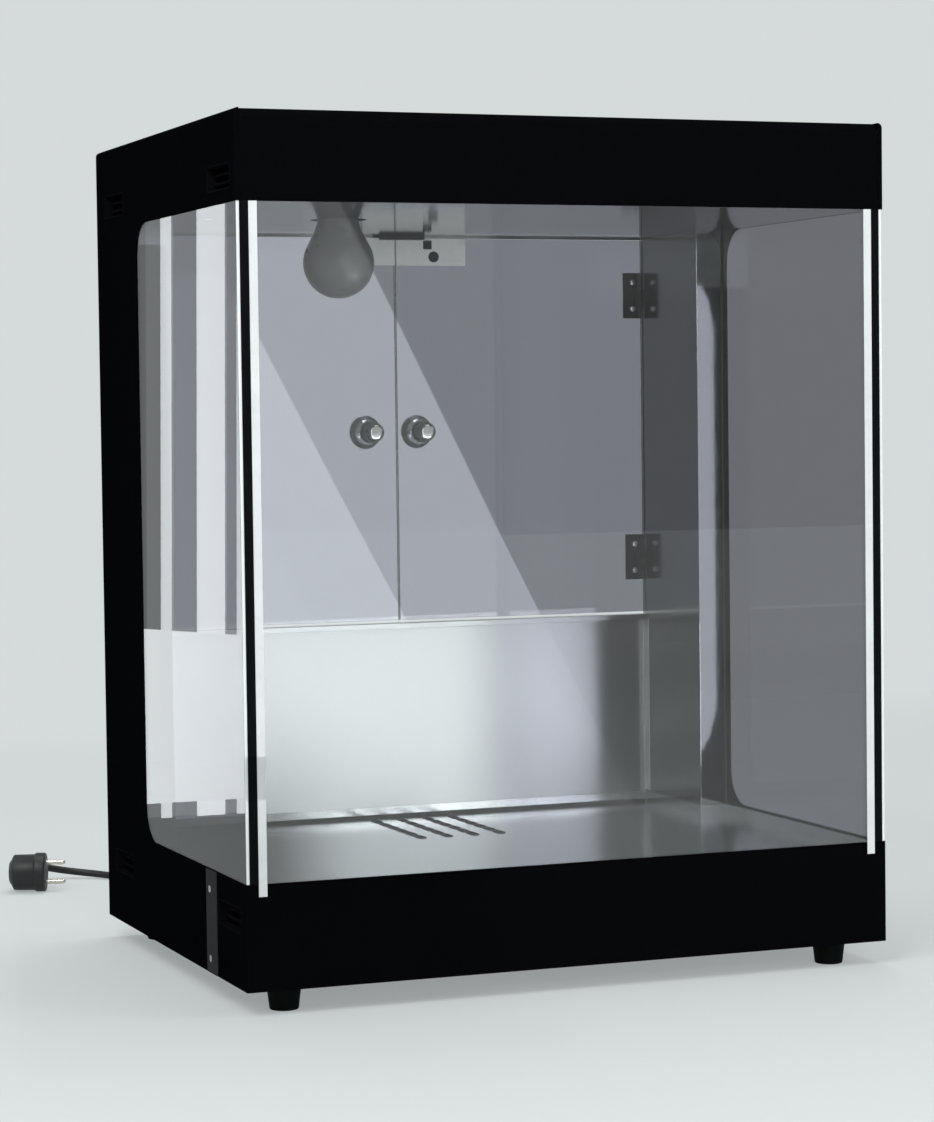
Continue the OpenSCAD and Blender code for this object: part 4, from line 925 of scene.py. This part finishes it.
class WARMER_OT_knobs(bpy.types.Operator):
    """Turns the flared door knobs and their caps"""

    bl_idname = "warmer.knobs"
    bl_label = "Knobs"

    def execute(self, context):
        knob = (
            [(0, -9), (2.2, -9), (2.4, -8.8), (2.4, 0), (9.6, 0), (9.9, 0.3), (9.9, 1.2),
             (9.2, 1.8), (9.0, 2.8), (9.6, 5.0), (11.6, 9.2), (14.4, 13.0), (15.2, 13.9)]
            + arc(12.1, 14.6, 3.4, 0, 90, 8) + [(11.0, 17.9), (10.6, 17.6), (6, 17.75), (0, 17.8)]
        )
        cap = (
            [(0, 0), (8.3, 0), (8.7, 0.4), (8.7, 2.6), (8.3, 3.0), (8.3, 3.4), (8.7, 3.8)]
            + arc(4.4, 9.6, 4.35, 0, 90, 8) + [(0, 14)]
        )
        # Faces that lie at a slant to the front take a near-black painted reflection, the rest the
        # polish.
        for s, side in ((-1, "left"), (1, "right")):
            at = Vector((s * KNOB_X, REAR_Y, KNOB_Z)) * MM
            node = "knob_" + side
            obj = stand_in(node + "_turned", turned("knob", knob, at, (0, 1, 0), 72), node)
            repaint(obj, "knob_painted_reflection", lambda normal: normal.y > -0.2 or -0.8 < normal.y < -0.5)
            at = Vector((s * KNOB_X, DOOR_Y, KNOB_Z)) * MM
            node = "knob_cap_" + side
            obj = stand_in(node + "_turned", turned("knob_cap", cap, at, (0, -1, 0), 56), node)
            repaint(obj, "knob_painted_reflection", lambda normal: abs(normal.y) < 0.75)
        return {"FINISHED"}


class WARMER_OT_lamp(bpy.types.Operator):
    """Makes the hanging bulb with its threaded cap, holder and bracket"""

    bl_idname = "warmer.lamp"
    bl_label = "Lamp"

    def execute(self, context):
        at, up = Vector((*LAMP, 0)) * MM, (0, 0, 1)
        bulb = (
            [(0, 563)] + arc(0, 593, 30, -84, 34, 26)
            + [(23.2, 613.5), (20.2, 619.5), (17.6, 626.5), (16.2, 633), (15.2, 638),
               (13.4, 641.5), (12.6, 644), (0, 644)]
        )
        stand_in("bulb_frosted", turned("bulb", bulb, at, up, 96), "bulb_glass")
        thread = [(0, 644), (12.7, 644), (12.9, 646)]
        for i in range(5):
            low = 647 + 3.4 * i
            thread += [(12.2, low), (12.9, low + 0.8), (12.9, low + 1.6), (12.2, low + 2.4)]
        thread += [(12.6, 664.6), (9, 667.4), (5, 668.2), (4, 668.4), (3.9, 670.6), (3.4, 671),
                   (0, 671)]
        stand_in("bulb_cap_threaded", turned("bulb_cap", thread, at, up, 64), "bulb_cap")
        holder = [(13.45, 647), (21.4, 647), (22, 647.6), (22, 652.2), (21.4, 652.9), (19.4, 653.2)]
        for i in range(4):
            low = 657 + 7 * i
            holder += [(19, low), (18.4, low + 0.6), (18.4, low + 1.4), (19, low + 2)]
        holder += [(19, 689.2), (18.2, 690), (0, 690), (0, 671.2), (13.45, 671.2), (13.45, 647)]
        stand_in("lamp_holder_glazed", turned("holder", holder, at, up, 64), "lamp_holder")
        dress("lamp_bracket", round_by=0.3 * MM)
        return {"FINISHED"}


class WARMER_OT_heater(bpy.types.Operator):
    """Dresses the duct, heating rod and fan under the floor"""

    bl_idname = "warmer.heater"
    bl_label = "Heater"

    def execute(self, context):
        # The duct takes the near black galvanised steel: painted shade seen through the floor
        # slots.
        dress("heater_duct", "galvanised", round_by=0.2 * MM)
        dress("heating_rod")
        dress("fan_frame", round_by=0.5 * MM)
        dress("fan_rotor", round_by=0.3 * MM)
        return {"FINISHED"}


class WARMER_OT_wiring(bpy.types.Operator):
    """Dresses the terminal block and the inner leads"""

    bl_idname = "warmer.wiring"
    bl_label = "Wiring"

    def execute(self, context):
        dress("terminal_block", round_by=0.4 * MM)
        dress("inner_leads")
        return {"FINISHED"}


class WARMER_OT_switches(bpy.types.Operator):
    """Rounds the rocker switches at the back"""

    bl_idname = "warmer.switches"
    bl_label = "Switches"

    def execute(self, context):
        dress("switch_bodies", round_by=0.4 * MM)
        for node in ("lamp_rocker", "heat_rocker"):
            dress(node, round_by=0.6 * MM, segments=3)
        return {"FINISHED"}


class WARMER_OT_feet(bpy.types.Operator):
    """Rounds the rubber feet and dresses their screws"""

    bl_idname = "warmer.feet"
    bl_label = "Feet"

    def execute(self, context):
        dress("feet", round_by=1.0 * MM, segments=3)
        dress("foot_screws", round_by=0.2 * MM)
        return {"FINISHED"}


# Stage


def mirrored_glow(name, value, strength, turns):
    """Light seen only in a pane, or through two panes after so many turns off the metal inside."""
    r = Recipe(name)
    r.tree.nodes.remove(r.shader)
    glow = r.add("ShaderNodeEmission", {"Color": opaque(value), "Strength": strength})
    unseen = r.add("ShaderNodeBsdfTransparent")
    path = r.add("ShaderNodeLightPath").outputs
    seen = path["Is Glossy Ray"]
    if turns:
        fewest, most = turns
        seen = r.math("MULTIPLY", r.math("GREATER_THAN", path["Transmission Depth"], PANE_FACES),
                      r.math("COMPARE", path["Glossy Depth"], (fewest + most) / 2,
                             (most - fewest) / 2 + 0.5))
    r.choose(seen, unseen.outputs[0], glow.outputs[0])
    return r.material


def backdrop_material(value):
    """A matt surface that shows the camera, glass and metal its plain colour, in part near by."""
    r = Recipe("backdrop", Base_Color=opaque(value), Roughness=0.9, Specular_IOR_Level=0.05)
    r.tones(r.noise(2, 3), shade(value, 0.995), shade(value, 1.005))
    glow = r.add("ShaderNodeEmission", {"Color": opaque(value)})
    path = r.add("ShaderNodeLightPath").outputs
    seen = path["Is Camera Ray"]
    for kind in ("Is Glossy Ray", "Is Transmission Ray"):
        seen = r.math("MAXIMUM", seen, path[kind])
    # All plain 2 m behind the warmer or 4 m away, and less so beside it, where its shadow falls.
    place = r.add("ShaderNodeTexCoord").outputs["Object"]
    behind = r.add("ShaderNodeSeparateXYZ", {0: place}).outputs["Y"]
    away = r.add("ShaderNodeVectorMath", {0: place}, operation="LENGTH").outputs["Value"]
    plain = r.math("MAXIMUM", r.spread(behind, 0.45, 1, 0.6, 2.0), r.spread(away, 0, 1, 2.0, 4.0))
    r.choose(r.math("MULTIPLY", seen, plain), r.shader.outputs[0], glow.outputs[0])
    return r.material


def upright(y, corners):
    """Corners of a card that faces the front, from pairs of x and z."""
    return [(x, y, z) for x, z in corners]


def sideways(x, corners):
    """Corners of a card that faces the side, from pairs of y and z."""
    return [(x, y, z) for y, z in corners]


def field(left, line):
    """A card's outline from an upright left edge to a line of points, drawn upwards."""
    return [(left, line[0][1]), *line, (left, line[-1][1])]


def streak(left, right):
    """A narrow card's outline that leans a little to the left."""
    top, lean = 0.75, 0.012
    return [(left, FOOT), (right, FOOT), (right - lean, top), (left - lean, top)]


FOOT = 0.003  # of a card, just above the floor
# A ray that is past the front pane and into a door or side pane has crossed more faces.
PANE_FACES = 2.5
# How many turns off metal behind the panes a card's light takes; None is off a pane itself.
OFF_PANE, STRAIGHT, ONE_TURN, TURNED, CORNER = None, (0, 0), (1, 1), (1, 9), (2, 9)
# Cards that only mirrors and doubled panes show, placed for the pictured angle: brightness as a
# share of the glare setting (0 keeps light away), the turns it takes, and corners in metres.
CARDS = {
    "glare_middle": (0.65, OFF_PANE, upright(-0.85, field(-0.6, [
        (0.360, FOOT), (0.300, 0.131), (0.189, 0.344), (0.091, 0.54), (0.023, 0.675),
        (-0.02, 0.76),
    ]))),
    "glare_left": (1.05, OFF_PANE, upright(-0.84, field(-0.6, [
        (0.088, 0.25), (0.078, 0.27), (0.008, 0.4), (-0.063, 0.536), (-0.1, 0.605),
    ]))),
    "door_light_middle": (0.81, STRAIGHT, upright(0.439, field(-0.2, [
        (0.297, 0.15), (0.196, 0.344), (0.098, 0.54), (0.030, 0.675), (-0.013, 0.76),
    ]))),
    "door_light_left": (1.08, STRAIGHT, upright(0.43, field(-0.2, [
        (0.149, 0.15), (0.085, 0.27), (0.015, 0.4), (-0.056, 0.536), (-0.093, 0.605),
    ]))),
    "corner_dark": (0.0, CORNER, upright(-0.43, field(-0.6, [(0.12, FOOT), (0.12, 0.6)]))),
    "rear_post_dark": (0.0, ONE_TURN, upright(-0.44, field(-0.9, [
        (-0.1, FOOT), (-0.1, 0.9),
    ]))),
    "panel_light": (2.9, TURNED, upright(-0.45, [
        (-0.9, FOOT), (0.372, FOOT), (0.372, 0.235), (-0.9, 0.225),
    ])),
    "panel_light_right": (9.6, TURNED, upright(-0.45, field(0.372, [
        (0.485, FOOT), (0.485, 0.235),
    ]))),
    "column_light": (1.6, ONE_TURN, sideways(0.6, [
        (-0.71, 0.05), (-0.655, 0.062), (-0.63, 0.085), (-0.612, 0.12), (-0.612, 0.56),
        (-0.625, 0.595), (-0.645, 0.612), (-0.71, 0.62),
    ])),
    "column_dark": (0.0, ONE_TURN, sideways(0.605, field(-0.715, [
        (-0.4, FOOT), (-0.4, 0.9),
    ]))),
    "streak_low": (2.55, OFF_PANE, upright(0.45, [
        (-0.36, 0.085), (-0.36, 0.26), (-0.5, 0.246), (-0.5, 0.085),
    ])),
    "streak_rear": (2.4, OFF_PANE, upright(0.95, streak(-0.533, -0.546))),
    "streak_middle": (2.7, OFF_PANE, upright(0.95, streak(-0.576, -0.61))),
    "streak_front": (2.4, OFF_PANE, upright(0.95, streak(-0.624, -0.638))),
    "streak_fill": (0.6, OFF_PANE, upright(0.96, [
        (-0.52, FOOT), (-0.67, FOOT), (-0.69, 0.75), (-0.53, 0.75),
    ])),
}
# Lamps: setting for their power, width, place and what they point at, in metres.
LAMPS = {
    "key": ("key", 1.6, (-1.8, -1.6, 2.6), (0, 0, 0.3)),
    "fill": ("fill", 1.4, (2.2, -1.8, 1.6), (0, 0, 0.35)),
    "top": ("fill", 1.2, (0.2, 0.6, 2.4), (0, 0, 0.3)),
    "front": ("front", 0.7, (-0.35, -2.7, 0.9), (0, 0, 0.45)),
}
# The backdrop: half its width, where its floor starts, its curve and its top, in metres.
BACKDROP = {"half": 9.0, "front": -9.0, "curve_at": 7.0, "curve": 1.5, "top": 5}


def staged(name, corners, faces, material):
    """Puts a sheet on the stage, smooth where it has more than one face."""
    mesh = bpy.data.meshes.new(name)
    mesh.from_pydata(corners, [], faces)
    if len(faces) > 1:
        mesh.shade_smooth()
    mesh.materials.append(material)
    obj = bpy.data.objects.new(name, mesh)
    bpy.context.scene.collection.objects.link(obj)


class WARMER_OT_stage(bpy.types.Operator):
    """Sets the pale floor and backdrop, the lamps and what the glass mirrors"""

    bl_idname = "warmer.stage"
    bl_label = "Stage"

    def execute(self, context):
        s = context.scene.warmer_stage
        value = tuple(s.backdrop)
        half, r, y0 = BACKDROP["half"], BACKDROP["curve"], BACKDROP["curve_at"]
        curve = [(y0 + r * sin(radians(a)), r - r * cos(radians(a))) for a in range(0, 91, 6)]
        path = [(BACKDROP["front"], 0), *curve, (y0 + r, BACKDROP["top"])]
        rows = [(-half, y, z) for y, z in path] + [(half, y, z) for y, z in path]
        count = len(path)
        faces = [(i, i + count, i + count + 1, i + 1) for i in range(count - 1)]
        staged("backdrop", rows, faces, backdrop_material(value))
        for name, (share, turns, corners) in CARDS.items():
            glow = mirrored_glow(name, value, s.glare * share, turns)
            staged(name, corners, [tuple(range(len(corners)))], glow)
        world = bpy.data.worlds.new("studio")
        context.scene.world = world
        world.use_nodes = True
        w = Nodes(world.node_tree)
        sky = w.tree.nodes["Background"].inputs
        w.put(opaque(value), sky["Color"])
        seen = w.add("ShaderNodeLightPath").outputs["Is Camera Ray"]
        w.put(w.math("MULTIPLY_ADD", seen, 1 - s.world, s.world), sky["Strength"])
        for name, (setting, size, at, aim) in LAMPS.items():
            lamp = bpy.data.lights.new(name, "AREA")
            lamp.energy = getattr(s, setting)
            lamp.size = size
            obj = bpy.data.objects.new(name, lamp)
            turn = (Vector(aim) - Vector(at)).to_track_quat("-Z", "Y").to_matrix().to_4x4()
            obj.matrix_world = Matrix.Translation(at) @ turn
            context.scene.collection.objects.link(obj)
        context.scene.view_settings.view_transform = "Standard"
        return {"FINISHED"}


# Panel and registration

STEPS = (
    WARMER_OT_camera,
    WARMER_OT_mains_lead,
    WARMER_OT_housing,
    WARMER_OT_glazing,
    WARMER_OT_chamber,
    WARMER_OT_doors,
    WARMER_OT_hinges,
    WARMER_OT_screws,
    WARMER_OT_knobs,
    WARMER_OT_lamp,
    WARMER_OT_heater,
    WARMER_OT_wiring,
    WARMER_OT_switches,
    WARMER_OT_feet,
    WARMER_OT_stage,
)


class WARMER_PT_panel(bpy.types.Panel):
    """Lists the steps and the settings of the chip warmer"""

    bl_label = "Chip warmer"
    bl_space_type = "VIEW_3D"
    bl_region_type = "UI"
    bl_category = "Warmer"

    def draw(self, context):
        column = self.layout.column(align=True)
        for step in STEPS:
            column.operator(step.bl_idname)
        for group in (context.scene.warmer_sizes, context.scene.warmer_finish,
                      context.scene.warmer_stage):
            box = self.layout.box()
            for name in group.bl_rna.properties.keys():
                if name not in {"rna_type", "name"}:
                    box.prop(group, name)


GROUPS = {
    "warmer_sizes": WarmerSizes,
    "warmer_finish": WarmerFinish,
    "warmer_stage": WarmerStage,
}


def register():
    for name, group in GROUPS.items():
        bpy.utils.register_class(group)
        setattr(bpy.types.Scene, name, PointerProperty(type=group))
    for cls in (*STEPS, WARMER_PT_panel):
        bpy.utils.register_class(cls)


def unregister():
    for cls in reversed((*STEPS, WARMER_PT_panel)):
        bpy.utils.unregister_class(cls)
    for name, group in GROUPS.items():
        delattr(bpy.types.Scene, name)
        bpy.utils.unregister_class(group)


def main():
    register()
    MATERIALS.update(make_materials(bpy.context.scene.warmer_finish))
    for step in STEPS:
        group, name = step.bl_idname.split(".")
        result = getattr(getattr(bpy.ops, group), name)()
        if result != {"FINISHED"}:
            raise RuntimeError(step.bl_label + " did not finish")


if __name__ == "__main__":
    main()
